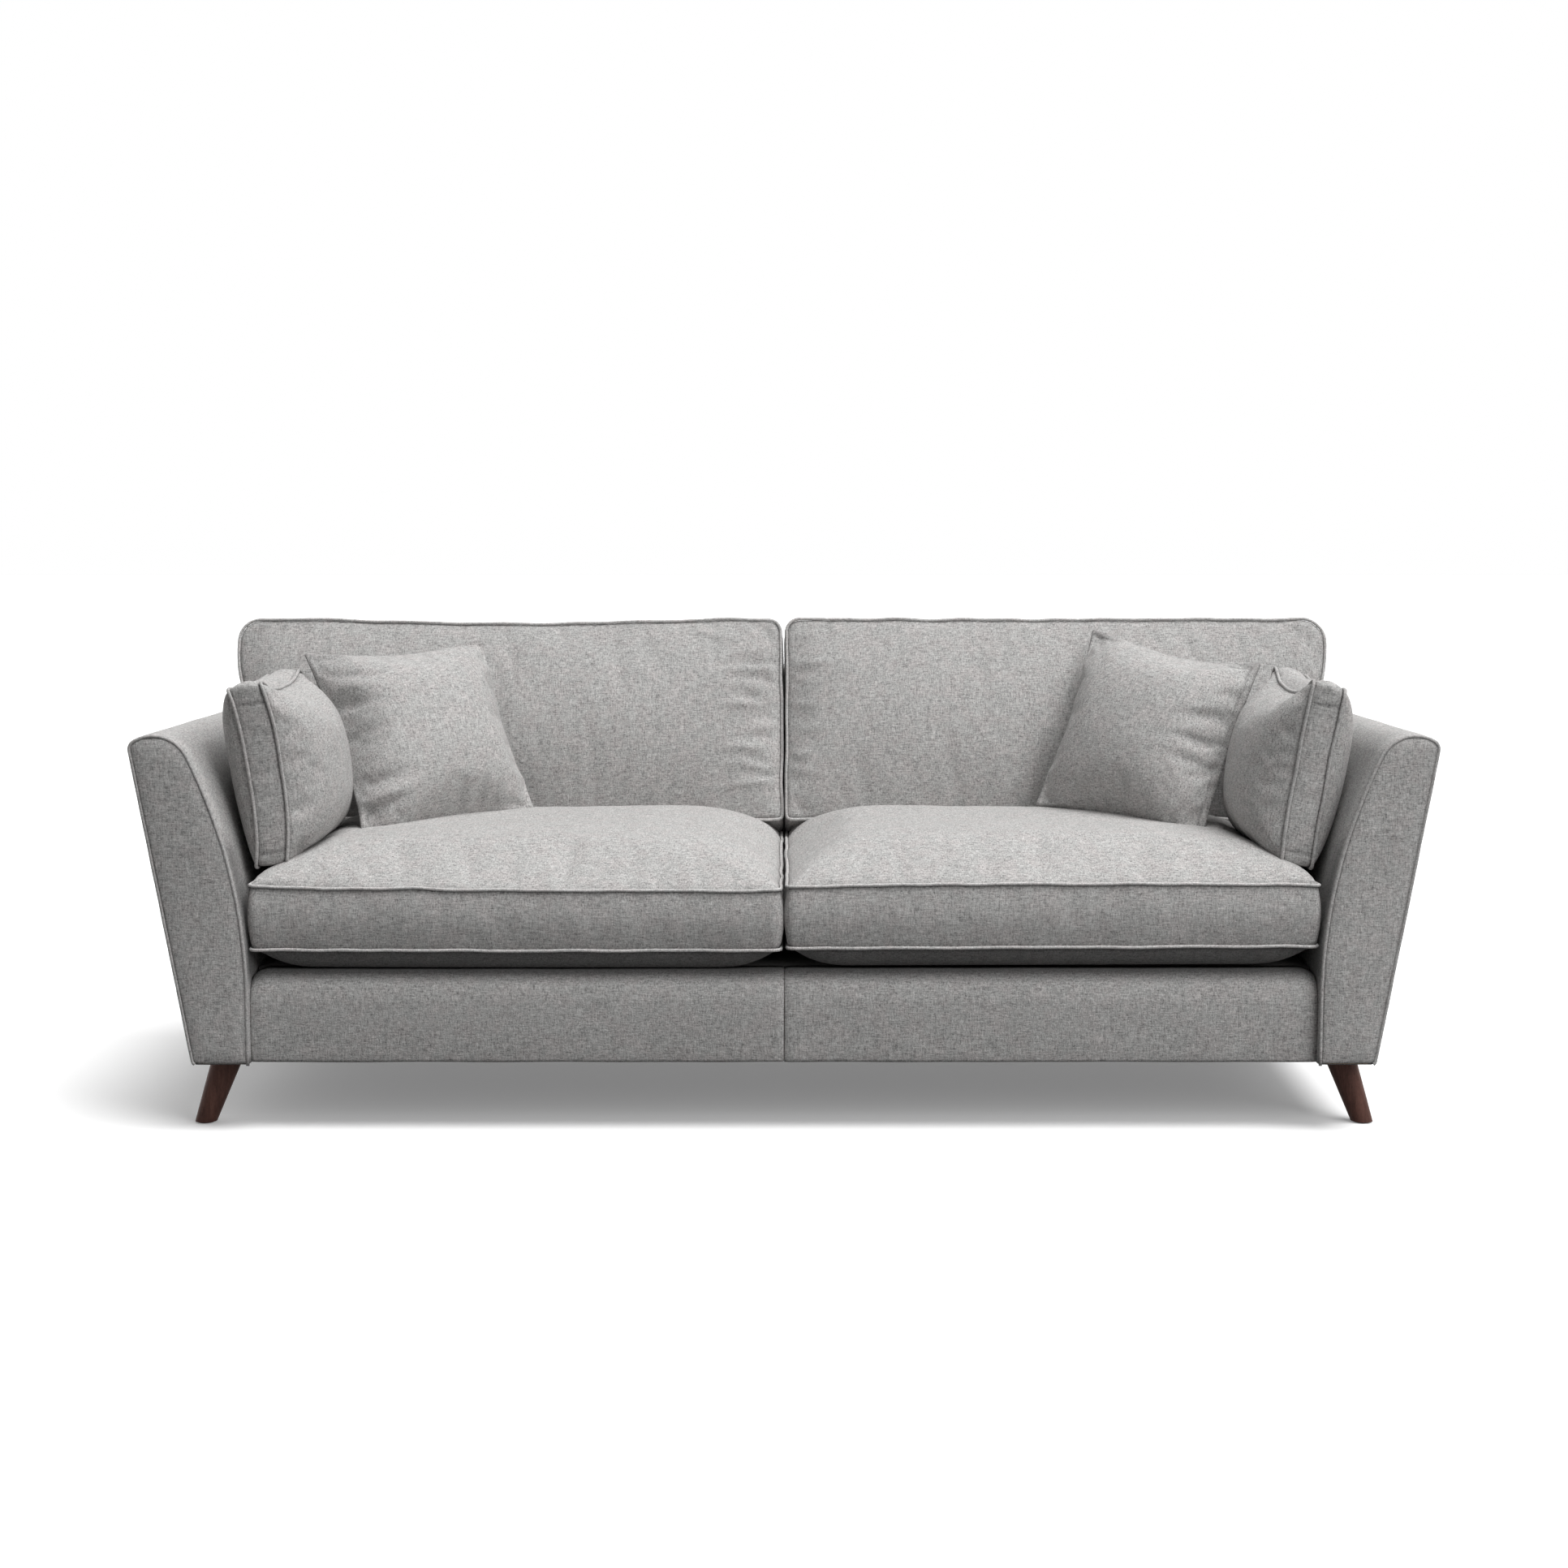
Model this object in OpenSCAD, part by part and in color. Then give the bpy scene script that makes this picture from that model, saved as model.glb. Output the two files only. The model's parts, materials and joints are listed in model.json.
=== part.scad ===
// Two-seat sofa with flared arms, loose box cushions and splayed wooden legs.
// Millimetres. X runs along the sofa, the front faces -Y, +Z is up, and the feet stand on z = 0.

/* [Body] */
// Clear width between the arms at the seat
inside_w = 1970; // [1800:10:2200]
// Depth from the front piping to the rear top edge
total_d = 1000; // [940:10:1060]
// Height of the underside above the floor
base_z = 127; // [100:1:160]
// Height of the deck that carries the seat cushions
deck_z = 298.5; // [290:0.5:320]
// Height of the back frame
back_z = 800; // [780:1:830]

/* [Arms] */
// Width of an arm at its base
arm_base_w = 107; // [95:0.5:130]
// Lean of the outer face of the arm, in degrees
arm_flare = 9.1; // [6:0.1:11]
// Height of the arm crest at the front
arm_z = 739; // [710:1:750]
// Fall of the arm crest from front to rear
arm_drop = 20; // [0:1:40]
// Height at which the inner face starts to flare
arm_bend_z = 260; // [200:5:300]
// Radius of the flared inner face
arm_sweep_r = 1020; // [1000:5:1200]
// Radius of the arm crest
arm_crest_r = 70; // [60:1:75]
// Radius of the outer top corner of the arm
arm_corner_r = 19; // [12:1:25]
// Radius of the outer bottom corner of the arm
arm_foot_r = 12; // [4:1:16]
// Foam and fabric on the arm frame
arm_pad_t = 14; // [10:1:18]
// Thickness of the fabric under the arm
arm_hem_t = 2; // [1.5:0.5:4]
// Thickness of the padded front facing
facing_t = 6; // [4:0.5:6]
// Radius of all the piping
piping_r = 4; // [3:0.5:5]

/* [Timber] */
// Thickness of the plywood panels
ply_t = 18; // [12:1:24]
// Thickness of the hardwood seat rails
rail_t = 25; // [20:1:30]
// Height of the rail tops
rail_top_z = 262; // [250:1:264]
// Front face of the spring rail, ahead of the rear top edge
spring_rail_back = 295; // [288:1:300]
// Front face of the rearmost rail, ahead of the rear top edge
rear_rail_back = 108; // [106:1:120]
// Height of the leg blocks
block_h = 66; // [55:1:70]
// Length of the leg blocks
block_l = 120; // [90:5:160]
// Width of the lower arm rail
lower_rail_w = 60; // [50:1:66]
// Half spacing of the two outer back uprights
upright_x = 490; // [400:10:600]
// Radius of the lightening holes in the back uprights
upright_hole_r = 38; // [20:1:42]
// Depth of the back top rail
top_rail_d = 84; // [60:1:88]

/* [Springs] */
// Springs under each seat
springs_per_seat = 4; // [3:1:5]
// Bars across each spring
spring_bars = 16; // [12:1:22]
// Wire radius
wire_r = 1.9; // [1.5:0.1:2.2]
// Width of the spring between its bends
spring_w = 34; // [24:1:44]
// Rise of the spring at the middle
spring_rise = 13.5; // [8:0.5:14]
// Thickness of the platform cloth
cloth_t = 1.2; // [0.8:0.1:2]

/* [Upholstery] */
// Thickness of the padded front border
border_t = 18; // [14:1:20]
// Radius of the top edge of the front border
border_r = 30; // [20:1:36]
// Set-back of the front border behind the arm piping
border_back = 25; // [15:1:35]
// Foam on the inside back
back_pad_t = 25; // [20:1:30]
// Foam over the top and sides of the back
back_wrap_t = 20; // [14:1:24]
// Recline of the inside back, in degrees
recline = 17.8; // [14:0.1:20]
// Inside back, measured forward from the rear top edge at deck height
back_depth = 293; // [285:1:310]
// Thickness of the outer back panel
outer_back_t = 6; // [4:1:10]
// Rake of the outer back, in degrees
outer_rake = 5.9; // [3:0.1:7]
// Thickness of the dust cover
dust_t = 1.8; // [1:0.1:1.9]

/* [Seat cushions] */
// Height of the seat cushion boxing
seat_boxing = 113; // [100:1:130]
// Crown of the seat cushion above its top piping
seat_crown = 71; // [50:1:74]
// Distance of the highest point of the crown behind the middle of the cushion
seat_crown_shift = 25; // [0:5:30]
// Swell of the seat cushion below its bottom piping
seat_swell = 42; // [40:1:50]
// Gap between the lower rear piping of the seat cushion and the inside back
seat_rear_gap = 1.3; // [1:0.1:30]
// Set-back of the seat cushion front behind the arm piping
seat_back = 20; // [15:1:30]
// Corner radius of the seat cushion
seat_corner_r = 22; // [15:1:30]
// Thickness of the cover and wadding around a cushion core
cover_t = 7; // [5:1:10]
// Clear gap beside and between the cushions
cushion_gap = 2; // [1.5:0.5:6]

/* [Back cushions] */
// Height of the back cushion along its slope
back_h = 426; // [400:1:440]
// Boxing of the back cushion
back_boxing = 128; // [110:1:130]
// Crown of the front of the back cushion
back_crown = 30; // [20:1:32]
// Half width of the pair of back cushions at the top
back_half_top = 1147; // [1120:1:1150]
// Height, along the slope, of the shoulder above the arms
back_shoulder = 358; // [350:1:380]
// Corner radius of the back cushion
back_corner_r = 34; // [20:1:45]

/* [Bolster cushions] */
// Height of the bolster cushion
bolster_h = 334; // [300:1:350]
// Length of the bolster cushion, front to rear
bolster_l = 396; // [360:1:400]
// Boxing of the bolster cushion
bolster_boxing = 59; // [45:1:65]
// Crown of the side that faces the seat
bolster_crown = 92; // [60:1:94]
// Crown of the side that faces the arm
bolster_crown_out = 24; // [15:1:26]
// Lean of the bolster cushion towards the arm, in degrees
bolster_tilt = 9; // [7:0.5:11]
// Corner radius of the bolster cushion
bolster_corner_r = 26; // [15:1:35]

/* [Scatter cushions] */
// Side of the square scatter cushion
scatter_side = 380; // [340:1:384]
// Thickness of the scatter cushion at its middle
scatter_t = 116; // [80:1:120]
// Corner radius of the scatter cushion
scatter_corner_r = 14; // [8:1:20]

/* [Legs] */
// Leg diameter at the floor
leg_d_foot = 38.5; // [32:0.5:48]
// Leg diameter at the top
leg_d_top = 57; // [50:1:58]
// Distance of the leg tops from the inner face of the arm
leg_inset = 58.5; // [50:0.5:62]
// Sideways splay of the leg over its height
leg_splay = 43; // [10:1:45]
// Fore-and-aft rake of the leg over its height
leg_rake = 18; // [5:1:30]
// Front leg tops, behind the front piping
leg_front = 108; // [90:1:120]
// Rear leg tops, in front of the rear top edge
leg_rear = 145; // [135:1:160]
// Radius of the hanger bolt
bolt_r = 4; // [3:0.5:5]
// Depth of the bolt in the leg
bolt_depth = 45; // [30:1:60]
// Thickness of the glide under each leg
glide_t = 2.5; // [1.5:0.5:5]
// Radius of the glide
glide_r = 15; // [10:1:18]

/* [Hidden] */

fabric = "#a9a7a6";
lining = "#d8d4cc";
foam = "#e9dfb8";
timber = "#c9a36b";
walnut = "#4a3028";
steel = "#8c8f94";
black_cloth = "#2b2b2d";

left = -1;
right = 1;
seat_clear = 0.3;
half_in = inside_w / 2;
front_y = -total_d / 2;
rear_y = total_d / 2;
spring_rail_y = rear_y - spring_rail_back;
rear_rail_y = rear_y - rear_rail_back;

// Plane of the inside back and plane of the outer back panel, as functions of height
function inside_back_y(z) = rear_y - back_depth + (z - deck_z) * tan(recline);
function outer_back_y(z) = rear_y - outer_back_t - (back_z - z) * tan(outer_rake);

// ---------- outlines ----------

// Points of an arc from angle a0 to a1, with n steps
function arc(c, r, a0, a1, n) =
    [for (i = [0:n]) let (a = a0 + (a1 - a0) * i / n) c + r * [cos(a), sin(a)]];

// Convex counterclockwise polygon with a radius at each corner
function unit(v) = v / norm(v);
function inward(p, prev, next, d) =
    let (u = unit(prev - p), v = unit(next - p)) p + unit(u + v) * d / sin(acos(u * v) / 2);
function corner(p, prev, next, r, n) =
    let (u = unit(prev - p), v = unit(next - p),
         a = atan2(-u[1] - v[1], -u[0] - v[0]), s = 90 - acos(u * v) / 2)
    arc(inward(p, prev, next, r), r, a - s, a + s, n);
function rounded(pts, radii, n) =
    let (m = len(pts)) [for (i = [0:m - 1]) each
        corner(pts[i], pts[(i + m - 1) % m], pts[(i + 1) % m], radii[i], n)];
// The same polygon moved inwards by d, with its corner radii reduced to match
function rounded_inside(pts, radii, d, n) =
    let (m = len(pts),
         inner = [for (i = [0:m - 1]) inward(pts[i], pts[(i + m - 1) % m], pts[(i + 1) % m], d)])
    rounded(inner, [for (r = radii) r - d], n);
function box_outline(x0, x1, y0, y1, r, n) =
    rounded([[x0, y0], [x1, y0], [x1, y1], [x0, y1]], [r, r, r, r], n);

// Outline scaled about a centre
function shrunk(pts, c, sx, sy) = [for (p = pts) [c[0] + (p[0] - c[0]) * sx, c[1] + (p[1] - c[1]) * sy]];
// Outline with every point brought towards the centre by d on each axis
function inset(pts, c, half, d) = shrunk(pts, c, 1 - d / half[0], 1 - d / half[1]);

// Arm outline in the plane of x and z, for the right arm, moved inwards by d and up by hem at the base:
// upright inner face, flared sweep, crest, outer top corner and straight outer face
sweep_c = [half_in + arm_sweep_r, arm_bend_z];
crest_z = arm_z - arm_crest_r;
crest_c = [sweep_c[0] - sqrt(pow(arm_sweep_r - arm_crest_r, 2) - pow(crest_z - arm_bend_z, 2)), crest_z];
crest_a = atan2(crest_c[1] - sweep_c[1], crest_c[0] - sweep_c[0]);
outer_n = [cos(arm_flare), -sin(arm_flare)];
outer_foot = [half_in + arm_base_w, base_z];
crest_gap = (outer_foot - crest_c) * outer_n;
corner_a = acos((crest_gap - arm_corner_r) / (arm_crest_r - arm_corner_r)) - arm_flare;
corner_c = crest_c + (arm_crest_r - arm_corner_r) * [cos(corner_a), sin(corner_a)];
sweep_n = 9;
crest_n = 7;
corner_n = 3;
foot_n = 2;
function outer_x(z, d) = outer_foot[0] + (z - base_z) * tan(arm_flare) - d / cos(arm_flare);
function arm_outline(d, hem) = concat(
    [[half_in + d, base_z + hem]],
    corner([outer_x(base_z + hem, d), base_z + hem], [half_in, base_z + hem],
        [outer_x(crest_z, d), crest_z], max(arm_foot_r - d, 1), foot_n),
    arc(corner_c, max(arm_corner_r - d, 1), -arm_flare, corner_a, corner_n),
    arc(crest_c, arm_crest_r - d, corner_a + 6, crest_a, crest_n),
    arc(sweep_c, arm_sweep_r - d, crest_a + 1.6, 180, sweep_n));
function arm_inner_x(z) = z < arm_bend_z ? half_in :
    sweep_c[0] - sqrt(arm_sweep_r * arm_sweep_r - pow(z - arm_bend_z, 2));
// The crest falls towards the rear; low points stay where they are
function drop_share(z) = max(0, (z - arm_bend_z) / (arm_z - arm_bend_z));
function dropped(z, t) = z - arm_drop * t * drop_share(z);

// ---------- solids from outlines ----------

// Closed loft through rings of equal length, counterclockwise seen from the last ring
module loft(rings) {
    n = len(rings[0]);
    m = len(rings);
    polyhedron([for (r = rings) each r], concat(
        [[for (i = [0:n - 1]) i]],
        [[for (i = [n - 1:-1:0]) (m - 1) * n + i]],
        [for (k = [0:m - 2], i = [0:n - 1]) [k * n + i, (k + 1) * n + i, (k + 1) * n + (i + 1) % n]],
        [for (k = [0:m - 2], i = [0:n - 1]) [k * n + i, (k + 1) * n + (i + 1) % n, k * n + (i + 1) % n]]
    ), convexity = 6);
}
function lift(pts, w) = [for (p = pts) [p[0], p[1], w]];

// Tube of radius r along points p in the plane z = w; it closes on itself unless open is true
function side_of(p, i, open) =
    let (m = len(p), a = open ? p[max(i - 1, 0)] : p[(i + m - 1) % m],
         b = open ? p[min(i + 1, m - 1)] : p[(i + 1) % m], t = unit(b - a)) [t[1], -t[0]];
module tube(p, w, r, open = false, sides = 6) {
    m = len(p);
    pts = [for (i = [0:m - 1]) let (s = side_of(p, i, open)) for (k = [0:sides - 1])
        let (a = 360 * k / sides) [p[i][0] + s[0] * r * cos(a), p[i][1] + s[1] * r * cos(a), w + r * sin(a)]];
    spans = open ? m - 1 : m;
    ends = open ? [[for (k = [sides - 1:-1:0]) k], [for (k = [0:sides - 1]) (m - 1) * sides + k]] : [];
    polyhedron(pts, concat(ends,
        [for (i = [0:spans - 1], k = [0:sides - 1]) let (j = (i + 1) % m, l = (k + 1) % sides)
            [i * sides + k, j * sides + l, j * sides + k]],
        [for (i = [0:spans - 1], k = [0:sides - 1]) let (j = (i + 1) % m, l = (k + 1) % sides)
            [i * sides + k, i * sides + l, j * sides + l]]), convexity = 8);
}

// Crowned pad. Outline in x and y about centre c; the boxing runs from z = 0 up to boxing.
// The top crown falls off with powers px and py across the outline, the bottom swells by swell.
crown_steps = [0, 0.16, 0.38, 0.62, 0.82, 0.94, 0.99];
swell_steps = [1, 0.85, 0.5, 0];
function crown_rings(o, c, z0, h, px, py, from) = [for (i = [from:len(crown_steps) - 1])
    let (s = crown_steps[i]) lift(shrunk(o, c, pow(1 - s, 1 / px), pow(1 - s, 1 / py)), z0 + h * s)];
function swell_rings(o, c, half, h, edge) = [for (s = swell_steps)
    lift(inset(o, c, half, edge * (1 - sqrt(1 - s * s))), -h * s)];
module pad(o, c, half, boxing, crown, swell, px, py, edge, peak = [0, 0]) {
    loft(concat(swell_rings(o, c, half, swell, edge), crown_rings(o, c + peak, boxing, crown, px, py, 0)));
}

// ---------- timber frame ----------

rail_bottom_z = base_z + arm_hem_t;
rail_h = rail_top_z - rail_bottom_z;
front_rail_y = front_y + border_back + border_t;
side_rail_x = half_in - seat_clear - rail_t;
bolt_past_rail = 45;
arm_bolt_ys = [-spring_rail_y - bolt_past_rail, 0, spring_rail_y + bolt_past_rail];
arm_bolt_z = rail_top_z - 31;
arm_bolt_clear = 0.3;

module front_rail() {
    color(timber) translate([-side_rail_x - rail_t, front_rail_y, rail_bottom_z])
        cube([2 * (side_rail_x + rail_t), rail_t, rail_h]);
}
module rear_rail() {
    color(timber) translate([-side_rail_x - rail_t, rear_rail_y, rail_bottom_z])
        cube([2 * (side_rail_x + rail_t), rail_t, rail_h]);
}
module spring_rail() {
    color(timber) translate([-side_rail_x, spring_rail_y, rail_bottom_z])
        cube([2 * side_rail_x, rail_t + 5, rail_h]);
}
module side_rail(side) {
    y0 = front_rail_y + rail_t;
    color(timber) mirror([side < 0 ? 1 : 0, 0, 0]) difference() {
        translate([side_rail_x, y0, rail_bottom_z]) cube([rail_t, rear_rail_y - y0, rail_h]);
        for (y = arm_bolt_ys) translate([side_rail_x - 1, y, arm_bolt_z]) rotate([0, 90, 0])
            cylinder(r = bolt_r + arm_bolt_clear, h = rail_t + 2, $fn = 32);
    }
}
module centre_joist() {
    y0 = front_rail_y + rail_t;
    color(timber) translate([-rail_t, y0, rail_bottom_z])
        cube([2 * rail_t, spring_rail_y - y0, rail_h / 2]);
}

lower_rail_z = rail_bottom_z + block_h + 5;
cover_front_y = front_y + 2 * piping_r + seat_clear;
panel_front_y = cover_front_y;
panel_rear_y = panel_front_y + ply_t;
arm_inner_t = arm_pad_t + 1;
leg_top_x = half_in + leg_inset;
nut_flange_t = 1.5;
nut_clear = 0.05;
nut_barrel_r = bolt_r + 1.5;
nut_barrel_l = 9;

function leg_top(x_side, y_side) =
    [x_side * leg_top_x, y_side < 0 ? front_y + leg_front : rear_y - leg_rear];

// Beech block in each corner of the base, which takes the T-nut of a leg
module corner_blocks() {
    block_x = half_in + arm_inner_t;
    block_w = arm_base_w - 2 * arm_inner_t;
    color(timber) for (sx = [left, right], sy = [-1, 1]) difference() {
        translate([sx > 0 ? block_x : -block_x - block_w,
            sy < 0 ? panel_rear_y : outer_back_y(rail_bottom_z) - 1 - ply_t - block_l, rail_bottom_z])
            cube([block_w, block_l, block_h]);
        translate([leg_top(sx, sy)[0], leg_top(sx, sy)[1], rail_bottom_z - 1])
            cylinder(r = nut_barrel_r + nut_clear, h = block_h + 2, $fn = 32);
    }
}

// Plywood profile behind the facing, with a slot cut out along its middle
module arm_front_panel(side) {
    rim = 34;
    color(timber) mirror([side < 0 ? 1 : 0, 0, 0]) translate([0, panel_rear_y, 0]) rotate([90, 0, 0])
        linear_extrude(ply_t) difference() {
            polygon(arm_outline(arm_inner_t, arm_hem_t));
            intersection() {
                polygon(arm_outline(arm_inner_t + rim, arm_hem_t));
                translate([half_in, lower_rail_z + 80])
                    square([2 * arm_base_w, crest_z - lower_rail_z - 130]);
            }
        }
}
// Plywood profile at the rear, raked like the outer back and lower at the crest
module arm_rear_panel(side) {
    o = arm_outline(arm_inner_t, arm_hem_t);
    color(timber) mirror([side < 0 ? 1 : 0, 0, 0]) loft([for (k = [1, 0])
        [for (p = o) let (z = dropped(p[1], 1)) [p[0], outer_back_y(z) - 1 - ply_t * (1 - k), z]]]);
}
module arm_top_rail(side) {
    rail_r = arm_crest_r - arm_inner_t - 1;
    slope = atan(arm_drop / total_d);
    run = outer_back_y(crest_z - arm_drop) - 2 - ply_t - panel_rear_y;
    color(timber) mirror([side < 0 ? 1 : 0, 0, 0])
        translate([0, panel_rear_y, crest_z]) rotate([90 - slope, 0, 0]) mirror([0, 0, 1])
        linear_extrude(run) translate([0, -crest_z]) intersection() {
            translate([crest_c[0], crest_c[1]]) circle(r = rail_r, $fn = 64);
            polygon(arm_outline(arm_inner_t + 2, arm_hem_t));
            translate([half_in, crest_c[1] + 15]) square([3 * arm_base_w, rail_r]);
        }
}
module arm_lower_rail(side) {
    x0 = half_in + arm_inner_t + 2;
    run = outer_back_y(lower_rail_z) - 1.5 - ply_t - panel_rear_y;
    color(timber) mirror([side < 0 ? 1 : 0, 0, 0]) difference() {
        translate([x0, panel_rear_y, lower_rail_z]) cube([lower_rail_w, run, rail_top_z - lower_rail_z]);
        for (y = arm_bolt_ys) translate([x0 - 1, y, arm_bolt_z]) rotate([0, 90, 0])
            cylinder(r = bolt_r + arm_bolt_clear, h = lower_rail_w + 2, $fn = 32);
    }
}
// Six bolts with hexagon nuts that hold the arms to the seat box
module arm_bolts() {
    head_t = 5;
    nut_x = half_in + arm_inner_t + 2 + lower_rail_w;
    color(steel) for (side = [left, right], y = arm_bolt_ys) mirror([side < 0 ? 1 : 0, 0, 0])
        translate([0, y, arm_bolt_z]) rotate([0, 90, 0]) {
            translate([0, 0, side_rail_x - head_t]) cylinder(r = 2 * bolt_r, h = head_t, $fn = 32);
            translate([0, 0, side_rail_x - 1]) cylinder(r = bolt_r, h = nut_x + 12 - side_rail_x, $fn = 32);
            translate([0, 0, nut_x]) cylinder(r = 2 * bolt_r, h = 7, $fn = 6);
        }
}

// ---------- back frame ----------

upright_gap = 1.5;
strap_t = 1.2;
top_rail_t = 30;
upright_top_z = back_z - back_wrap_t - 1 - top_rail_t;
upright_foot_z = rail_top_z;

// Plywood wedges, front edge on the recline and rear edge on the rake, lightened by two holes
module back_uprights() {
    front_gap = (back_pad_t + strap_t) / cos(recline);
    hole_z = upright_foot_z + 95;
    hole_pitch = 175;
    hole_rs = [upright_hole_r * 1.45, upright_hole_r];
    color(timber) for (x = [-upright_x, 0, upright_x]) translate([x - ply_t / 2, 0, 0])
        rotate([90, 0, 90]) linear_extrude(ply_t) difference() {
            polygon([
                [inside_back_y(upright_foot_z) + front_gap, upright_foot_z],
                [outer_back_y(upright_foot_z) - upright_gap, upright_foot_z],
                [outer_back_y(upright_top_z) - upright_gap, upright_top_z],
                [inside_back_y(upright_top_z) + front_gap, upright_top_z]]);
            for (i = [0, 1]) let (z = hole_z + i * hole_pitch)
                translate([(inside_back_y(z) + front_gap + outer_back_y(z)) / 2, z])
                    circle(r = hole_rs[i], $fn = 48);
        }
}
module back_top_rail() {
    overhang = 60;
    rear_face_y = outer_back_y(upright_top_z) - upright_gap;
    color(timber) translate([-half_in - overhang, rear_face_y - top_rail_d, upright_top_z])
        cube([inside_w + 2 * overhang, top_rail_d, top_rail_t]);
}
// Elastic straps across the front edges of the uprights
module back_webbing() {
    strap_w = 50;
    strap_pitch = 95;
    strap_gap = 0.2;
    strap_l = inside_w - 3 * back_wrap_t;
    color(lining) for (i = [0:3]) let (z = upright_foot_z + 90 + i * strap_pitch)
        translate([0, inside_back_y(z) + back_pad_t / cos(recline) + strap_gap, z]) rotate([-recline, 0, 0])
            translate([-strap_l / 2, 0, 0]) cube([strap_l, strap_t - 2 * strap_gap, strap_w]);
}

// ---------- springs and platform ----------

cloth_z = deck_z - 15 - cloth_t;
clip_h = 6;
clip_w = 16;
clip_d = 12;
spring_y0 = front_rail_y + rail_t / 2;
spring_y1 = spring_rail_y + clip_d / 2 + 1;
spring_foot_z = rail_top_z + wire_r + seat_clear;
spring_pitch = (spring_y1 - spring_y0) / (spring_bars - 1);
spring_xs = [for (side = [left, right], i = [1:springs_per_seat])
    side * (rail_t + (side_rail_x - rail_t) * (i - 0.5) / springs_per_seat)];
bend_steps = 3;

// Centre line of one zigzag spring: straight bars joined by half-round bends, arched over its length
function spring_xy() = [for (b = [0:spring_bars - 1])
    let (s = b % 2 == 0 ? 1 : -1, y = spring_y0 + b * spring_pitch)
    each b == spring_bars - 1 ? [[-s * spring_w / 2, y], [s * spring_w / 2, y]] :
        concat([[-s * spring_w / 2, y]], [for (k = [0:bend_steps - 1]) let (a = -90 + 180 * k / bend_steps)
            [s * (spring_w / 2 + spring_pitch / 2 * cos(a)), y + spring_pitch / 2 * (1 + sin(a))]])];
function spring_rise_at(y) = spring_rise * sin(180 * (y - spring_y0) / (spring_y1 - spring_y0));
module spring(x) {
    p = spring_xy();
    m = len(p);
    pts = [for (i = [0:m - 1]) let (s = side_of(p, i, true), z = spring_foot_z + spring_rise_at(p[i][1]))
        for (a = [0, 90, 180, 270]) [x + p[i][0] + s[0] * wire_r * cos(a), p[i][1] + s[1] * wire_r * cos(a),
            z + wire_r * sin(a)]];
    polyhedron(pts, concat([[3, 2, 1, 0]], [[for (k = [0:3]) (m - 1) * 4 + k]],
        [for (i = [0:m - 2], k = [0:3]) let (l = (k + 1) % 4) [i * 4 + k, i * 4 + 4 + l, i * 4 + 4 + k]],
        [for (i = [0:m - 2], k = [0:3]) let (l = (k + 1) % 4) [i * 4 + k, i * 4 + l, i * 4 + 4 + l]]),
        convexity = 20);
}
module seat_springs() {
    color(steel) for (x = spring_xs) spring(x);
}
// Staple clips over the end bars of the springs
module spring_clips() {
    slot = wire_r * 2 + 2 * seat_clear;
    color(steel) for (x = spring_xs, y = [spring_y0, spring_y1]) difference() {
        translate([x - clip_w / 2, y - clip_d / 2, rail_top_z]) cube([clip_w, clip_d, clip_h]);
        translate([x - clip_w / 2 - 1, y - slot / 2, rail_top_z - 1]) cube([clip_w + 2, slot, slot + 1]);
    }
}
platform_y0 = front_y + border_back + border_r + 45;
module platform_cloth() {
    color(black_cloth) translate([-half_in + 1.5, platform_y0, cloth_z])
        cube([inside_w - 3, inside_back_y(cloth_z) - 2 - platform_y0, cloth_t]);
}
module platform_pad() {
    z0 = cloth_z + cloth_t;
    color(lining) translate([-half_in + 1.5, platform_y0 + seat_clear, z0])
        cube([inside_w - 3, inside_back_y(z0) - 2 - platform_y0 - seat_clear, deck_z - z0]);
}

// ---------- fixed upholstery ----------

seam_gap = 0.4;
module front_border(side) {
    y0 = front_y + border_back;
    inner_r = border_r - border_t;
    profile = concat(
        [[y0, base_z]],
        [[y0 + border_t, base_z]],
        arc([y0 + border_r, cloth_z + cloth_t - inner_r], inner_r, 180, 90, 4),
        [[platform_y0, cloth_z + cloth_t]],
        [[platform_y0, deck_z]],
        arc([y0 + border_r, deck_z - border_r], border_r, 90, 180, 6));
    color(fabric) mirror([side < 0 ? 1 : 0, 0, 0]) translate([seam_gap, 0, 0]) rotate([90, 0, 90])
        linear_extrude(half_in - 2 * seam_gap - 0.5) polygon(profile);
}

// Padded tube of fabric round the arm frame, open at both ends, with holes for the legs and bolts
leg_hole_gap = 9;
function arm_ring(d, hem, t, over) = [for (p = arm_outline(d, hem)) let (z = dropped(p[1], t))
    [p[0], cover_front_y - over + t * (outer_back_y(z) - seat_clear + 2 * over - cover_front_y), z]];
module arm_cover(side) {
    spans = [1, 0.66, 0.33, 0];
    color(fabric) mirror([side < 0 ? 1 : 0, 0, 0]) difference() {
        loft([for (t = spans) arm_ring(0, 0, t, 0)]);
        loft([for (t = spans) arm_ring(arm_pad_t, arm_hem_t, t, 2)]);
        for (y = [-1, 1]) let (top = leg_top(1, y)) translate([top[0], top[1], base_z - 1])
            cylinder(d = leg_d_top + leg_hole_gap, h = arm_hem_t + 2, $fn = 24);
        for (y = arm_bolt_ys) translate([half_in - 1, y, arm_bolt_z]) rotate([0, 90, 0])
            cylinder(r = bolt_r + 1, h = arm_pad_t + 2, $fn = 16);
    }
}
// Padded front panel of the arm, inside its piping
module arm_facing(side) {
    color(fabric) mirror([side < 0 ? 1 : 0, 0, 0])
        translate([0, cover_front_y - seat_clear, 0]) rotate([90, 0, 0])
        linear_extrude(facing_t) polygon(arm_outline(2 * piping_r + 0.4, piping_r + 0.4));
}
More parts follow.
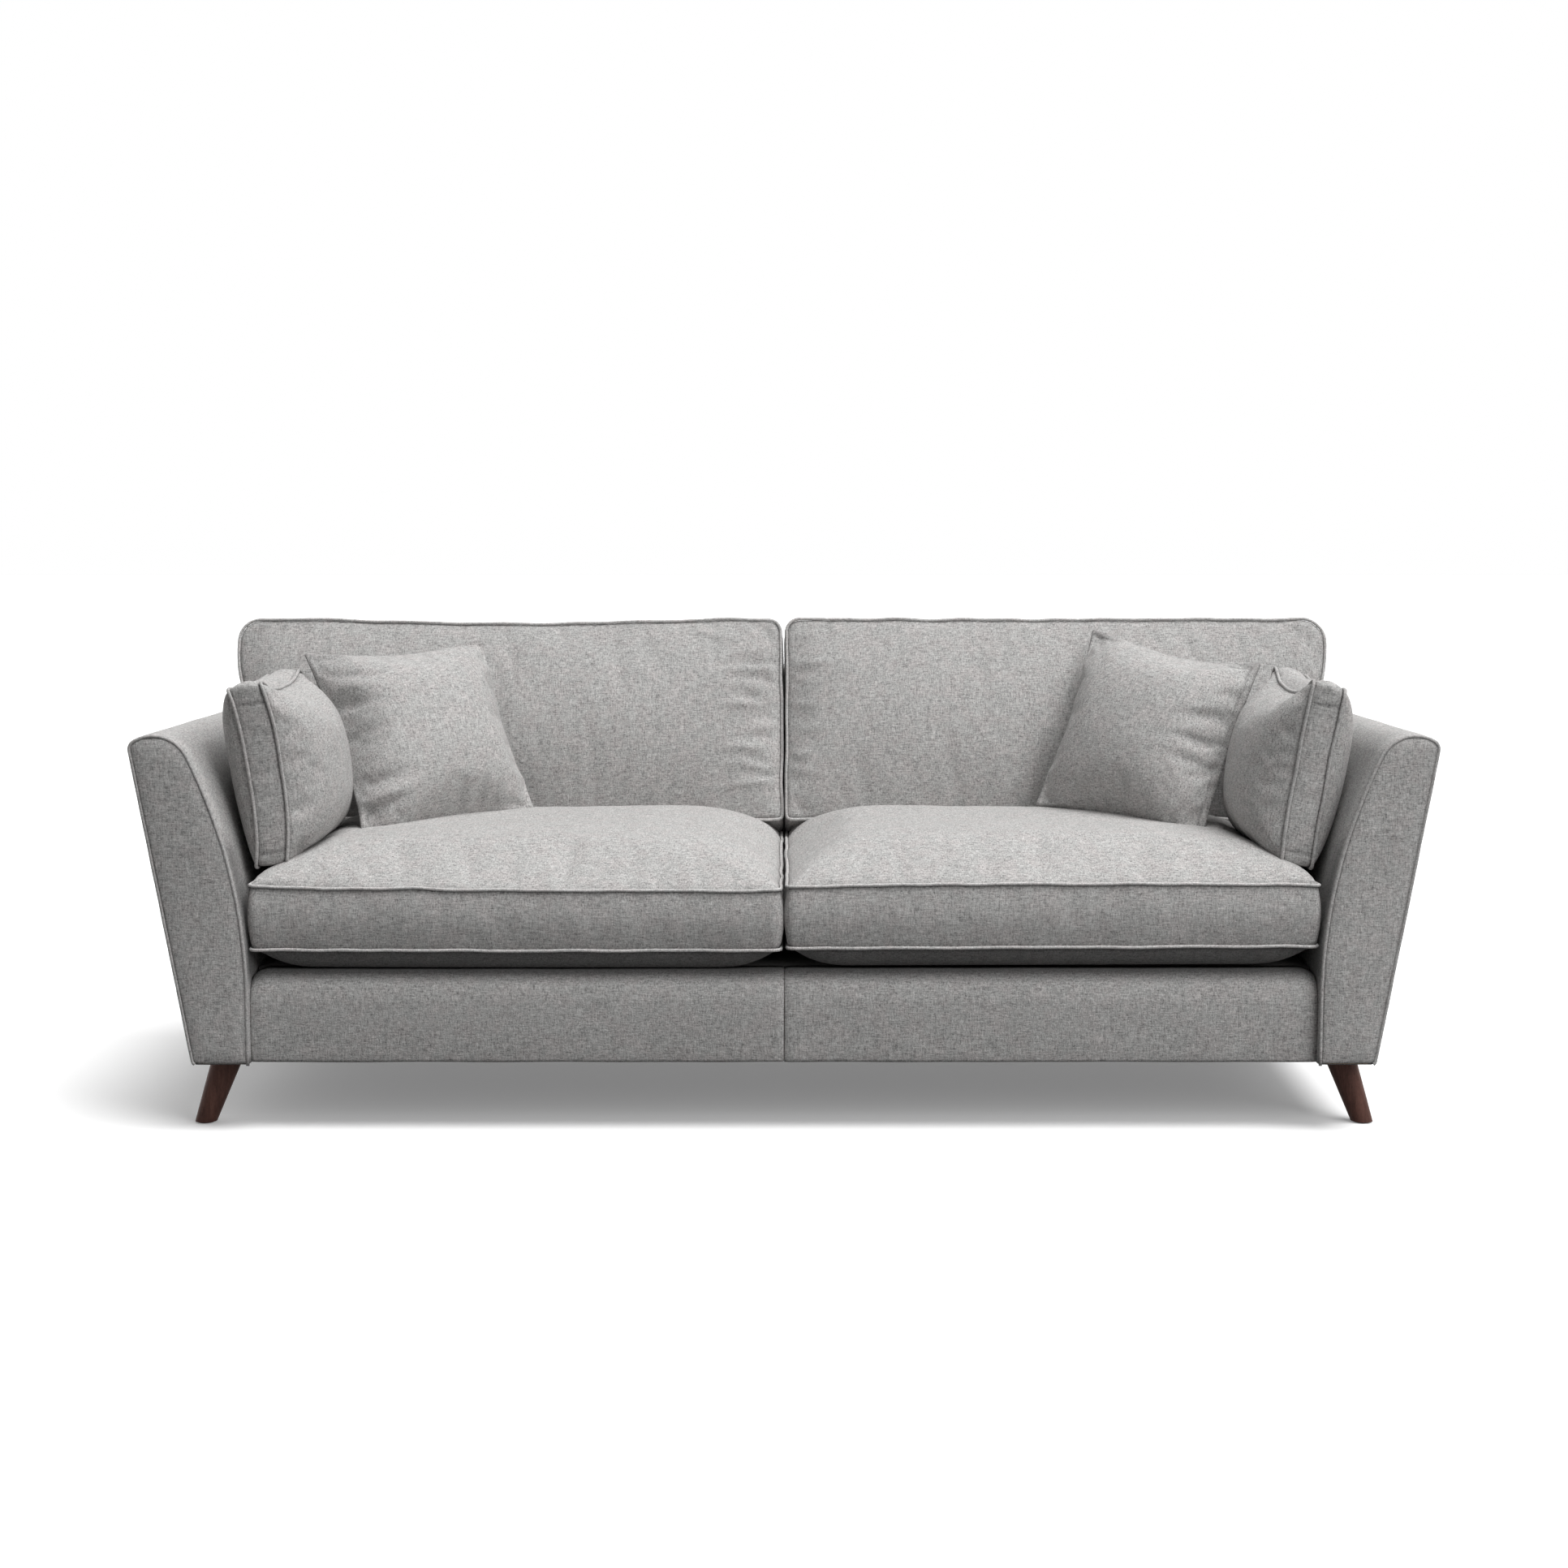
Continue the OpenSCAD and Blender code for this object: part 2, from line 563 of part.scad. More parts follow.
// Piping up the inner edge of the facing, over the crest and down the outer edge
module arm_piping(side) {
    o = arm_outline(piping_r, 0);
    n = len(o);
    path = [for (i = [1:n]) o[i % n]];
    color(fabric) mirror([side < 0 ? 1 : 0, 0, 0]) translate([0, front_y + piping_r, 0]) rotate([90, 0, 0])
        tube(path, 0, piping_r, open = true, sides = 8);
}

// Half outline of the back: it follows the arm up to its shoulder and then leaves it on a tangent
shoulder_z = arm_z - 119;
back_foot_z = rail_top_z + 13;
back_edge_n = 7;
back_top_r = 30;
function back_edge_x(z) = arm_inner_x(min(z, shoulder_z)) - 1
    + max(0, z - shoulder_z) * (shoulder_z - arm_bend_z) / (sweep_c[0] - arm_inner_x(shoulder_z));
function back_side(d) = concat(
    [for (i = [0:back_edge_n]) let (z = back_foot_z + (shoulder_z - back_foot_z) * i / back_edge_n)
        [back_edge_x(z) - d, z]],
    arc([back_edge_x(back_z - back_top_r) - back_top_r - max(d - 25, 0), back_z - back_top_r],
        back_top_r - min(d, 25), 20, 90, 4));
function back_outline(d) = concat(back_side(d), [for (i = [len(back_side(d)) - 1:-1:0])
    [-back_side(d)[i][0], back_side(d)[i][1]]]);
back_pad_y = back_pad_t / cos(recline);
// Soft front edge: each ring is [distance behind the front plane, inset]
back_edge_rings = [[back_pad_y, 0], [16, 0], [5, 4], [0, 12]];
module inside_back_cover() {
    color(fabric) loft([for (e = back_edge_rings)
        [for (p = back_outline(e[1])) [p[0], inside_back_y(p[1]) + e[0], p[1]]]]);
}
// Padded band over the ends and the top of the back frame, open at the foot
module back_band() {
    outer = back_outline(0);
    inner = back_outline(back_wrap_t);
    o = concat(outer, [for (i = [len(inner) - 1:-1:0]) inner[i]]);
    color(fabric) loft([
        [for (p = o) [p[0], outer_back_y(p[1]) - seat_clear, p[1]]],
        [for (p = o) [p[0], inside_back_y(p[1]) + back_pad_y + seat_clear, p[1]]]]);
}
// Taut panel over the whole rear: arms and back
function half_rear() = concat(
    [[outer_x(base_z, 1), base_z]],
    [for (p = arc(corner_c, arm_corner_r - 1, -arm_flare, corner_a, corner_n)) [p[0], dropped(p[1], 1)]],
    [for (p = arc(crest_c, arm_crest_r - 1, corner_a + 6, 125, 4)) [p[0], dropped(p[1], 1)]],
    [for (i = [1:5]) back_side(0)[back_edge_n + i]]);
module outer_back_cover() {
    h = half_rear();
    o = concat(h, [for (i = [len(h) - 1:-1:0]) [-h[i][0], h[i][1]]]);
    color(fabric) loft([for (t = [outer_back_t, 0]) [for (p = o) [p[0], outer_back_y(p[1]) + t, p[1]]]]);
}
module dust_cover() {
    y0 = front_rail_y + 0.5;
    color(black_cloth) translate([-half_in + 1, y0, base_z])
        cube([inside_w - 2, outer_back_y(base_z) - 1 - y0, dust_t]);
}

// ---------- legs ----------

module leg_axis(sx, sy) {
    top = leg_top(sx, sy);
    translate([top[0], top[1], rail_bottom_z])
        rotate([sy * atan(leg_rake / base_z), sx * -atan(leg_splay / base_z), 0]) children();
}
// Tapered round leg, splayed outwards and forwards or backwards, cut level at both ends
module leg(sx, sy) {
    axis_l = norm([leg_splay, leg_rake, base_z]);
    top = leg_top(sx, sy);
    reach = 30;
    room = 2 * leg_d_top;
    taper = (leg_d_top - leg_d_foot) / 2 / axis_l;
    color(walnut) difference() {
        intersection() {
            leg_axis(sx, sy) translate([0, 0, -axis_l - reach])
                cylinder(r1 = leg_d_foot / 2 - taper * reach, r2 = leg_d_top / 2 + taper * reach,
                    h = axis_l + 2 * reach, $fn = 64);
            translate([top[0] - room, top[1] - room, glide_t])
                cube([2 * room, 2 * room, rail_bottom_z - glide_t]);
        }
        translate([top[0], top[1], rail_bottom_z - bolt_depth])
            cylinder(r = bolt_r + nut_clear, h = bolt_depth + 1, $fn = 32);
    }
}
module leg_bolts() {
    color(steel) for (sx = [left, right], sy = [-1, 1]) let (top = leg_top(sx, sy))
        translate([top[0], top[1], rail_bottom_z - bolt_depth + 1])
            cylinder(r = bolt_r, h = bolt_depth - 1 + block_h, $fn = 32);
}
module t_nuts() {
    color(steel) for (sx = [left, right], sy = [-1, 1]) let (top = leg_top(sx, sy))
        translate([top[0], top[1], rail_bottom_z + block_h]) difference() {
            union() {
                cylinder(r = 11, h = nut_flange_t, $fn = 32);
                translate([0, 0, -nut_barrel_l]) cylinder(r = nut_barrel_r, h = nut_barrel_l + 0.5, $fn = 32);
            }
            translate([0, 0, -nut_barrel_l - 1])
                cylinder(r = bolt_r + nut_clear, h = nut_barrel_l + 4, $fn = 32);
        }
}
function leg_foot(sx, sy) = leg_top(sx, sy) + [sx * leg_splay, sy * leg_rake];
module leg_glides() {
    color(black_cloth) for (sx = [left, right], sy = [-1, 1]) let (foot = leg_foot(sx, sy))
        translate([foot[0], foot[1], 0]) cylinder(r = glide_r, h = glide_t, $fn = 32);
}

// ---------- seat cushions ----------

// The panels of a cushion start this far inside the centre line of its piping
panel_in = piping_r + 0.1;
seat_x0 = cushion_gap / 2 + piping_r;
seat_x1 = half_in - cushion_gap - piping_r;
seat_y0 = front_y + seat_back + piping_r;
seat_z0 = deck_z + seat_clear + seat_swell;
seat_y1 = inside_back_y(seat_z0 - piping_r) - piping_r - seat_rear_gap;
seat_d = seat_y1 - seat_y0;
seat_c = [(seat_x0 + seat_x1) / 2, (seat_y0 + seat_y1) / 2];
seat_half = [(seat_x1 - seat_x0) / 2 - panel_in, seat_d / 2 - panel_in];
seat_peak = [0, seat_crown_shift];
seat_px = 5;
seat_py = 3;
seat_bottom_edge = 55;
seat_n = 3;
function seat_outline(d) =
    box_outline(seat_x0 + d, seat_x1 - d, seat_y0 + d, seat_y1 - d, seat_corner_r - d, seat_n);

module seat_place(side) {
    mirror([side < 0 ? 1 : 0, 0, 0]) translate([0, 0, seat_z0]) children();
}
module seat_inner(gap) {
    o = seat_outline(panel_in + gap);
    translate([0, 0, gap / 2]) pad(o, seat_c, seat_half - [gap, gap], seat_boxing - gap, seat_crown - gap / 2,
        seat_swell - gap / 2, seat_px, seat_py, seat_bottom_edge, seat_peak);
}
module seat_cushion(side) {
    color(fabric) seat_place(side) difference() {
        pad(seat_outline(panel_in), seat_c, seat_half, seat_boxing, seat_crown, seat_swell, seat_px, seat_py,
            seat_bottom_edge, seat_peak);
        seat_inner(cover_t);
    }
}
module seat_core(side) {
    color(foam) seat_place(side) seat_inner(cover_t + 1);
}
// Two loops of piping, at the top and bottom of the boxing
module seat_piping(side) {
    color(fabric) seat_place(side) for (w = [0, seat_boxing])
        tube(seat_outline(0), w, piping_r);
}

// ---------- back cushions ----------

back_x0 = cushion_gap / 2 + piping_r;
back_n = 3;
back_rest_y = inside_back_y(deck_z);
back_foot_up = 173;
back_px = 4;
back_py = 2.4;
// The side slopes outwards up to the shoulder, on a tangent that clears the flared arm at back_clear_z
back_clear_z = arm_z - 44;
back_low_z = deck_z + back_foot_up * cos(recline);
back_slope = (back_clear_z - arm_bend_z) / (sweep_c[0] - arm_inner_x(back_clear_z));
function back_side_x(up) = arm_inner_x(back_clear_z) - piping_r - cushion_gap
    + back_slope * (back_low_z + up * cos(recline) - dropped(back_clear_z, 0.75));
function back_pts() = let (x1 = back_half_top - piping_r) [[back_x0, 0], [back_side_x(0), 0],
    [back_side_x(back_shoulder), back_shoulder], [x1, back_h], [back_x0, back_h]];
back_radii = [back_corner_r / 2, back_corner_r / 2, 2 * back_corner_r, back_corner_r, back_corner_r];
function back_cushion_outline(d) = rounded_inside(back_pts(), back_radii, d, back_n);
back_c = [(back_x0 + back_half_top) / 2 - 20, back_h / 2];
back_half = [(back_half_top - back_x0) / 2 - panel_in, back_h / 2 - panel_in];

// Frame of a back cushion: x across, y up the slope, z = 0 on the rear piping and +z to the front
module back_place(side) {
    mirror([side < 0 ? 1 : 0, 0, 0]) translate([0, back_rest_y, deck_z]) rotate([-recline, 0, 0])
        translate([0, -back_swell - seat_clear, back_foot_up]) rotate([90, 0, 0]) children();
}
back_swell = 6;
back_rear_edge = 30;
module back_inner(gap) {
    translate([0, 0, gap / 2]) pad(back_cushion_outline(panel_in + gap), back_c, back_half - [gap, gap],
        back_boxing - gap, back_crown - gap / 2, back_swell - gap / 2, back_px, back_py, back_rear_edge);
}
module back_cushion(side) {
    color(fabric) back_place(side) difference() {
        pad(back_cushion_outline(panel_in), back_c, back_half, back_boxing, back_crown, back_swell,
            back_px, back_py, back_rear_edge);
        back_inner(cover_t);
    }
}
module back_core(side) {
    color(foam) back_place(side) back_inner(cover_t + 1);
}
module back_piping(side) {
    color(fabric) back_place(side) for (w = [0, back_boxing]) tube(back_cushion_outline(0), w, piping_r);
}

// ---------- bolster cushions against the arms ----------

bolster_front_y = front_y + 88;
bolster_foot = [half_in - 3, deck_z + 180.8];
bolster_px = 2.2;
bolster_py = 2.2;
bolster_n = 3;
function bolster_outline(d) =
    box_outline(d, bolster_l - d, d, bolster_h - d, bolster_corner_r - d, bolster_n);
bolster_half = [bolster_l / 2, bolster_h / 2];
// Frame of a bolster: x to the front, y up, z = 0 on the piping beside the arm and +z to the seat
module bolster_place(side) {
    mirror([side < 0 ? 1 : 0, 0, 0])
        translate([bolster_foot[0], bolster_front_y + bolster_l, bolster_foot[1]])
        rotate([0, bolster_tilt, 0]) rotate([90, 0, -90]) children();
}
module bolster_cushion(side) {
    rear_edge = 90;
    color(fabric) bolster_place(side) pad(bolster_outline(panel_in), bolster_half, bolster_half,
        bolster_boxing, bolster_crown, bolster_crown_out, bolster_px, bolster_py, rear_edge);
}
module bolster_piping(side) {
    color(fabric) bolster_place(side) for (w = [0, bolster_boxing]) tube(bolster_outline(0), w, piping_r);
}

// ---------- scatter cushions ----------

// Centre from the arm, the rear and the deck, then turn towards the middle of the sofa, recline and roll:
// left, right
scatter_in = [255.5, 252];
scatter_forward = [495.5, 487];
scatter_up = [396.3, 402.2];
scatter_turn = [32.3, -35];
scatter_lean = [28.3, 26];
scatter_roll = [3.8, -5];
scatter_p = 2.2;
scatter_n = 2;
module scatter_cushion(side) {
    i = side < 0 ? 0 : 1;
    h = scatter_side / 2;
    o = box_outline(-h, h, -h, h, scatter_corner_r, scatter_n);
    top = crown_rings(o, [0, 0], 0.6, scatter_t / 2, scatter_p, scatter_p, 0);
    bottom = crown_rings(o, [0, 0], 0.6, scatter_t / 2, scatter_p, scatter_p, 0);
    low = [for (k = [len(bottom) - 1:-1:0]) [for (p = bottom[k]) [p[0], p[1], -p[2]]]];
    centre = [side * (half_in - scatter_in[i]), rear_y - scatter_forward[i], deck_z + scatter_up[i]];
    color(fabric) translate(centre) rotate([0, 0, scatter_turn[i]])
        rotate([90 - scatter_lean[i], 0, 0]) rotate([0, 0, scatter_roll[i]]) loft(concat(low, top));
}

front_rail();
rear_rail();
spring_rail();
side_rail(left);  // side_rail_left
side_rail(right);  // side_rail_right
centre_joist();
corner_blocks();
arm_front_panel(left);  // arm_front_panel_left
arm_front_panel(right);  // arm_front_panel_right
arm_rear_panel(left);  // arm_rear_panel_left
arm_rear_panel(right);  // arm_rear_panel_right
arm_top_rail(left);  // arm_top_rail_left
arm_top_rail(right);  // arm_top_rail_right
arm_lower_rail(left);  // arm_lower_rail_left
arm_lower_rail(right);  // arm_lower_rail_right
arm_bolts();
back_uprights();
back_top_rail();
back_webbing();
seat_springs();
spring_clips();
platform_cloth();
platform_pad();
front_border(left);  // front_border_left
front_border(right);  // front_border_right
arm_cover(left);  // arm_cover_left
arm_cover(right);  // arm_cover_right
arm_facing(left);  // arm_facing_left
arm_facing(right);  // arm_facing_right
arm_piping(left);  // arm_piping_left
arm_piping(right);  // arm_piping_right
inside_back_cover();
back_band();
outer_back_cover();
dust_cover();
leg(left, -1);  // leg_front_left
leg(right, -1);  // leg_front_right
leg(left, 1);  // leg_rear_left
leg(right, 1);  // leg_rear_right
leg_bolts();
t_nuts();
leg_glides();
seat_cushion(left);  // seat_cushion_left
seat_cushion(right);  // seat_cushion_right
seat_core(left);  // seat_core_left
seat_core(right);  // seat_core_right
seat_piping(left);  // seat_piping_left
seat_piping(right);  // seat_piping_right
back_cushion(left);  // back_cushion_left
back_cushion(right);  // back_cushion_right
back_core(left);  // back_core_left
back_core(right);  // back_core_right
back_piping(left);  // back_piping_left
back_piping(right);  // back_piping_right
bolster_cushion(left);  // bolster_cushion_left
bolster_cushion(right);  // bolster_cushion_right
bolster_piping(left);  // bolster_piping_left
bolster_piping(right);  // bolster_piping_right
scatter_cushion(left);  // scatter_cushion_left
scatter_cushion(right);  // scatter_cushion_right
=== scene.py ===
import json
import math

import bmesh
import bpy
import numpy as np
from mathutils import Matrix, Vector, noise
from mathutils.kdtree import KDTree


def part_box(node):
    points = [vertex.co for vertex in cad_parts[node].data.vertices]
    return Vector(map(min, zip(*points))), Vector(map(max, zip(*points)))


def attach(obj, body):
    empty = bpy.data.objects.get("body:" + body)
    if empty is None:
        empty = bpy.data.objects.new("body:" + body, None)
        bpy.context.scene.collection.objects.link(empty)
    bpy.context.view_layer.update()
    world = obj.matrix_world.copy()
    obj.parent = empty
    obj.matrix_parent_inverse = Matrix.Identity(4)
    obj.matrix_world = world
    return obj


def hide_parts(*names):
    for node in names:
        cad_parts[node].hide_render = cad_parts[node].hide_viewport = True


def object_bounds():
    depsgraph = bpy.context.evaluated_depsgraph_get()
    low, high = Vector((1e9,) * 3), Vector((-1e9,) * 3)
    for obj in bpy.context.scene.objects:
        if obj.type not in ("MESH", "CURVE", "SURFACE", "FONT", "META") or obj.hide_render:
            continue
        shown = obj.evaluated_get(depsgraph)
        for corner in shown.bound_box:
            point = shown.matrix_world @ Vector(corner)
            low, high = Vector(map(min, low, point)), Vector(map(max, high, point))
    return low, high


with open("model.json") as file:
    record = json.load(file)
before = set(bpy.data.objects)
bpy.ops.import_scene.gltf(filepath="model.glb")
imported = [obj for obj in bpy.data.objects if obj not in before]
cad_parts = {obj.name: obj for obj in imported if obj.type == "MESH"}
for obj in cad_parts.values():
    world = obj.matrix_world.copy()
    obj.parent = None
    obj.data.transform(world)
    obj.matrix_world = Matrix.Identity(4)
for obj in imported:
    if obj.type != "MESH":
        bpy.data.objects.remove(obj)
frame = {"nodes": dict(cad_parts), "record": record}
cad_low, cad_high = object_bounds()

# ---------- driving values, in metres and degrees ----------

WELT_R = 0.0032          # radius of the piping as it is seen
PIPE_R = 0.0042          # radius of the arm piping in the solids
PIPE_IN = 0.0040         # centre of a cushion's piping, inside its box
SEAM_IN = 0.0020         # seam line of a cushion panel, inside the centre of the piping
CELL = 0.011             # mesh cell of the simulated cushions
RECLINE = 17.8           # lean of the back
BOLSTER_TILT = 9.0       # lean of the bolsters in the solids
SCATTER = {              # centre, turn, lean and roll of the scatter cushions
    "left": ((-0.7295, 0.0045, 0.6948), 32.3, 28.3, 3.8),
    "right": ((0.733, 0.013, 0.7007), -35.0, 26.0, -5.0),
}
SIDES = {"left": -1, "right": 1}
CORNERS = [(a, b) for a in (-1, 1) for b in (-1, 1)]
HALF_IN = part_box("platform_pad")[1].x + 0.0015
BASE_Z, ARM_Z = (corner.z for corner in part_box("arm_cover_right"))
FRONT_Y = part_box("arm_piping_right")[0].y
REAR_Y = cad_high[1]
BACK_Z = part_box("back_band")[1].z
SEWN = 0.0003            # clear space between touching covers


# ---------- small tools ----------

def rotation(*turns):
    """Product of rotations given as (axis, degrees)."""
    m = Matrix.Identity(4)
    for axis, degrees in turns:
        m = m @ Matrix.Rotation(math.radians(degrees), 4, axis)
    return m


def node_points(node):
    return np.array([v.co[:] for v in frame["nodes"][node].data.vertices], float)


def extent(node, rot):
    """Lowest and highest corner of a solid in the turned frame rot."""
    p = node_points(node) @ np.array(rot.to_3x3())
    return p.min(0), p.max(0)


def make_object(name, verts, faces, rot=None):
    mesh = bpy.data.meshes.new(name)
    mesh.from_pydata([tuple(map(float, v)) for v in verts], [], [tuple(f) for f in faces])
    mesh.validate()
    mesh.update()
    obj = bpy.data.objects.new(name, mesh)
    bpy.context.scene.collection.objects.link(obj)
    if rot is not None:
        obj.matrix_world = rot
    mesh.shade_smooth()
    return obj


def vectors(obj, key):
    values = np.empty(len(obj.data.vertices) * 3, np.float32)
    obj.data.vertices.foreach_get(key, values)
    return values.reshape(-1, 3).astype(float)


def points_of(obj):
    return vectors(obj, "co")


def normals_of(obj):
    return vectors(obj, "normal")


def set_points(obj, co):
    obj.data.vertices.foreach_set("co", np.asarray(co, np.float32).ravel())
    obj.data.update()


def push(obj, amount):
    """Moves each point along its normal."""
    set_points(obj, points_of(obj) + normals_of(obj) * np.asarray(amount)[:, None])


def outward(obj):
    """Points every face of a closed mesh outwards."""
    bm = bmesh.new()
    bm.from_mesh(obj.data)
    bmesh.ops.recalc_face_normals(bm, faces=bm.faces)
    bm.to_mesh(obj.data)
    bm.free()
    obj.data.update()
    return obj


def two_skins(grid):
    """Faces over a grid of points and, wound the other way, over an equal grid that follows it."""
    n, faces = grid.size, []
    for j in range(grid.shape[0] - 1):
        for i in range(grid.shape[1] - 1):
            a, b, c, d = grid[j, i], grid[j, i + 1], grid[j + 1, i + 1], grid[j + 1, i]
            faces += [(a, b, c, d), (d + n, c + n, b + n, a + n)]
    return faces


def closed_panel(name, front, back):
    """Closed mesh between two grids of points."""
    grid = np.arange(front.shape[0] * front.shape[1]).reshape(front.shape[:2])
    n, faces = grid.size, two_skins(grid)
    ring = [*grid[0], *grid[1:, -1], *grid[-1, :-1][::-1], *grid[1:-1, 0][::-1]]
    faces += [(a, a + n, b + n, b) for a, b in zip(ring, ring[1:] + ring[:1])]
    return outward(make_object(name, np.concatenate([front, back]).reshape(-1, 3), faces))


def columns(*values):
    """Arrays of one shape, or single numbers, side by side along a last axis."""
    return np.stack(np.broadcast_arrays(*values), -1)


def arc(centre, radius, start, end, n):
    """n + 1 points from angle start to end in degrees."""
    a = np.radians(np.linspace(start, end, n + 1))
    return columns(centre[0] + radius * np.cos(a), centre[1] + radius * np.sin(a))


def rounded(near, r):
    """0 at an edge and 1 from the distance r inwards, along a quarter circle."""
    return np.sqrt(np.clip(1 - (1 - np.clip(near / r, 0, 1)) ** 2, 0, 1))


def noise_at(points, scale, seed):
    """Smooth noise from -1 to 1 at each point."""
    shift = Vector((seed * 7.31, seed * 3.17, seed * 5.53))
    return np.array([noise.noise(Vector(p) * scale + shift) for p in points])


def loft(name, *bodies, side=1, closed=False, rot=None):
    """Closed mesh through the rings of each body, mirrored in x for side -1. closed joins the last ring to
    the first; otherwise both ends get a face."""
    verts, faces = [], []
    for rings in bodies:
        start, n, m = len(verts), len(rings[0]), len(rings)
        for k in range(m if closed else m - 1):
            low, high = start + k * n, start + (k + 1) % m * n
            faces += [(low + i, low + (i + 1) % n, high + (i + 1) % n, high + i) for i in range(n)]
        verts += list(np.vstack(rings) * np.array([side, 1, 1]))
        if not closed:
            first, last = range(start, start + n), range(len(verts) - n, len(verts))
            faces += [tuple(reversed(first)), tuple(last)]
    return outward(make_object(name, verts, faces, rot))


def subdivide(obj):
    mod = obj.modifiers.new("subdivision", "SUBSURF")
    mod.levels = mod.render_levels = 1
    old = obj.data
    obj.data = bpy.data.meshes.new_from_object(obj.evaluated_get(bpy.context.evaluated_depsgraph_get()))
    obj.modifiers.clear()
    bpy.data.meshes.remove(old)
    obj.data.shade_smooth()


def painted_shade(obj, values):
    """Paints shade into the cloth at each point: darkens it where it isn't darker already."""
    layer = obj.data.attributes.get("painted_shade") or obj.data.attributes.new("painted_shade", "FLOAT", "POINT")
    before = np.empty(len(values), np.float32)
    layer.data.foreach_get("value", before)
    layer.data.foreach_set("value", np.maximum(np.asarray(values, np.float32), before))


# ---------- materials ----------

DARKEST = 0.72           # share of its brightness that the cloth loses at painted shade 1


class Nodes:
    """Short calls for building the node tree of a material or of the world."""

    def __init__(self, owner):
        owner.use_nodes = True
        self.tree = owner.node_tree
        self.shader = self.tree.nodes.get("Principled BSDF")

    def add(self, kind, **values):
        node = self.tree.nodes.new(kind)
        for key, value in values.items():
            if hasattr(node, key):
                setattr(node, key, value)
            else:
                node.inputs[key].default_value = value
        return node

    def link(self, source, target):
        self.tree.links.new(source, target)

    def surface(self, **values):
        """Constants of the shader; an underscore stands for a space."""
        for key, value in values.items():
            self.shader.inputs[key.replace("_", " ")].default_value = value

    def colour(self, base, factor, share=1.0):
        """Base colour, multiplied by a pattern."""
        self.link(self.mix("MULTIPLY", share, base, factor), self.shader.inputs["Base Color"])

    def coords(self, scale):
        coords = self.tree.nodes.get("coords") or self.add("ShaderNodeTexCoord")
        coords.name = "coords"
        mapping = self.add("ShaderNodeMapping", Scale=scale)
        self.link(coords.outputs["Object"], mapping.inputs["Vector"])
        return mapping.outputs["Vector"]

    def noise(self, scale, detail=2.0, roughness=0.5, distortion=0.0):
        node = self.add("ShaderNodeTexNoise", Scale=1.0, Detail=detail, Roughness=roughness,
                        Distortion=distortion)
        self.link(self.coords(scale), node.inputs["Vector"])
        return node.outputs["Fac"]

    def ramp(self, fac, stops):
        node = self.add("ShaderNodeValToRGB")
        elements = node.color_ramp.elements
        while len(elements) < len(stops):
            elements.new(0.5)
        for element, (place, value) in zip(elements, stops):
            element.position = place
            element.color = (value, value, value, 1.0)
        self.link(fac, node.inputs["Fac"])
        return node.outputs["Color"]

    def math(self, operation, a, b):
        node = self.add("ShaderNodeMath", operation=operation)
        self.fill(node.inputs, (a, b))
        return node.outputs[0]

    def total(self, *terms, start=0.0):
        """start and the sum of terms given as (value, factor)."""
        for value, factor in terms:
            start = self.math("ADD", self.math("MULTIPLY", value, factor), start)
        return start

    def mix(self, kind, fac, a, b):
        node = self.add("ShaderNodeMix", data_type="RGBA", blend_type=kind)
        self.fill([node.inputs[key] for key in ("Factor", "A", "B")], (fac, a, b))
        return next(output for output in node.outputs if output.type == "RGBA")

    def fill(self, sockets, values):
        """Gives each socket its number or colour, or links it to what makes its value."""
        for socket, value in zip(sockets, values):
            if isinstance(value, (int, float)):
                socket.default_value = value
            elif isinstance(value, tuple):
                socket.default_value = (*value, 1.0)
            else:
                self.link(value, socket)

    def bump(self, height, strength, distance):
        node = self.add("ShaderNodeBump", Strength=strength, Distance=distance)
        self.link(height, node.inputs["Height"])
        self.link(node.outputs["Normal"], self.shader.inputs["Normal"])


def linen(n, base, contrast, slub, thread=0.0024):
    """Woven melange cloth: crossing slubs along all three axes, so that it needs no UVs. A point attribute
    of painted shade darkens it."""
    thin, long_ = 1 / thread, 1 / slub
    streaks = [n.noise(scale, 2.0, 0.62) for scale in
               ((long_, thin, thin), (thin, long_, thin), (thin, thin, long_))]
    cloud = n.noise((7, 7, 7), 3.0, 0.55)
    patch = n.noise((48, 48, 48), 2.0, 0.6)
    total = n.total(*((streak, 1.0) for streak in streaks))
    light = 1.05 * contrast
    shade = n.total((total, light), (patch, 0.09), (cloud, 0.12),
                    start=1.0 - 1.5 * light - 0.5 * (0.09 + 0.12))
    dark = n.add("ShaderNodeAttribute", attribute_name="painted_shade").outputs["Fac"]
    shade = n.math("MULTIPLY", n.math("MAXIMUM", shade, 0.30), n.total((dark, -DARKEST), start=1.0))
    warm = n.ramp(n.noise((30, 30, 30), 3.0, 0.7), [(0.44, 0.0), (0.60, 1.0)])
    cool_thread, warm_thread = (tuple(c * f for c, f in zip(base, tone))
                                for tone in ((0.992, 1.002, 1.0), (1.035, 0.985, 0.985)))
    tint = n.mix("MIX", n.math("MULTIPLY", warm, 0.5), cool_thread, warm_thread)
    scaled = n.add("ShaderNodeVectorMath", operation="SCALE")
    n.link(tint, scaled.inputs[0])
    n.link(shade, scaled.inputs["Scale"])
    n.link(scaled.outputs[0], n.shader.inputs["Base Color"])
    fine = n.noise((1 / 0.0016,) * 3, 2.0, 0.6)
    n.bump(n.total((total, 0.8), (fine, 0.5)), 0.50, 0.0010)
    n.surface(Roughness=0.93, Specular_IOR_Level=0.16, Sheen_Weight=0.10, Sheen_Roughness=0.5)


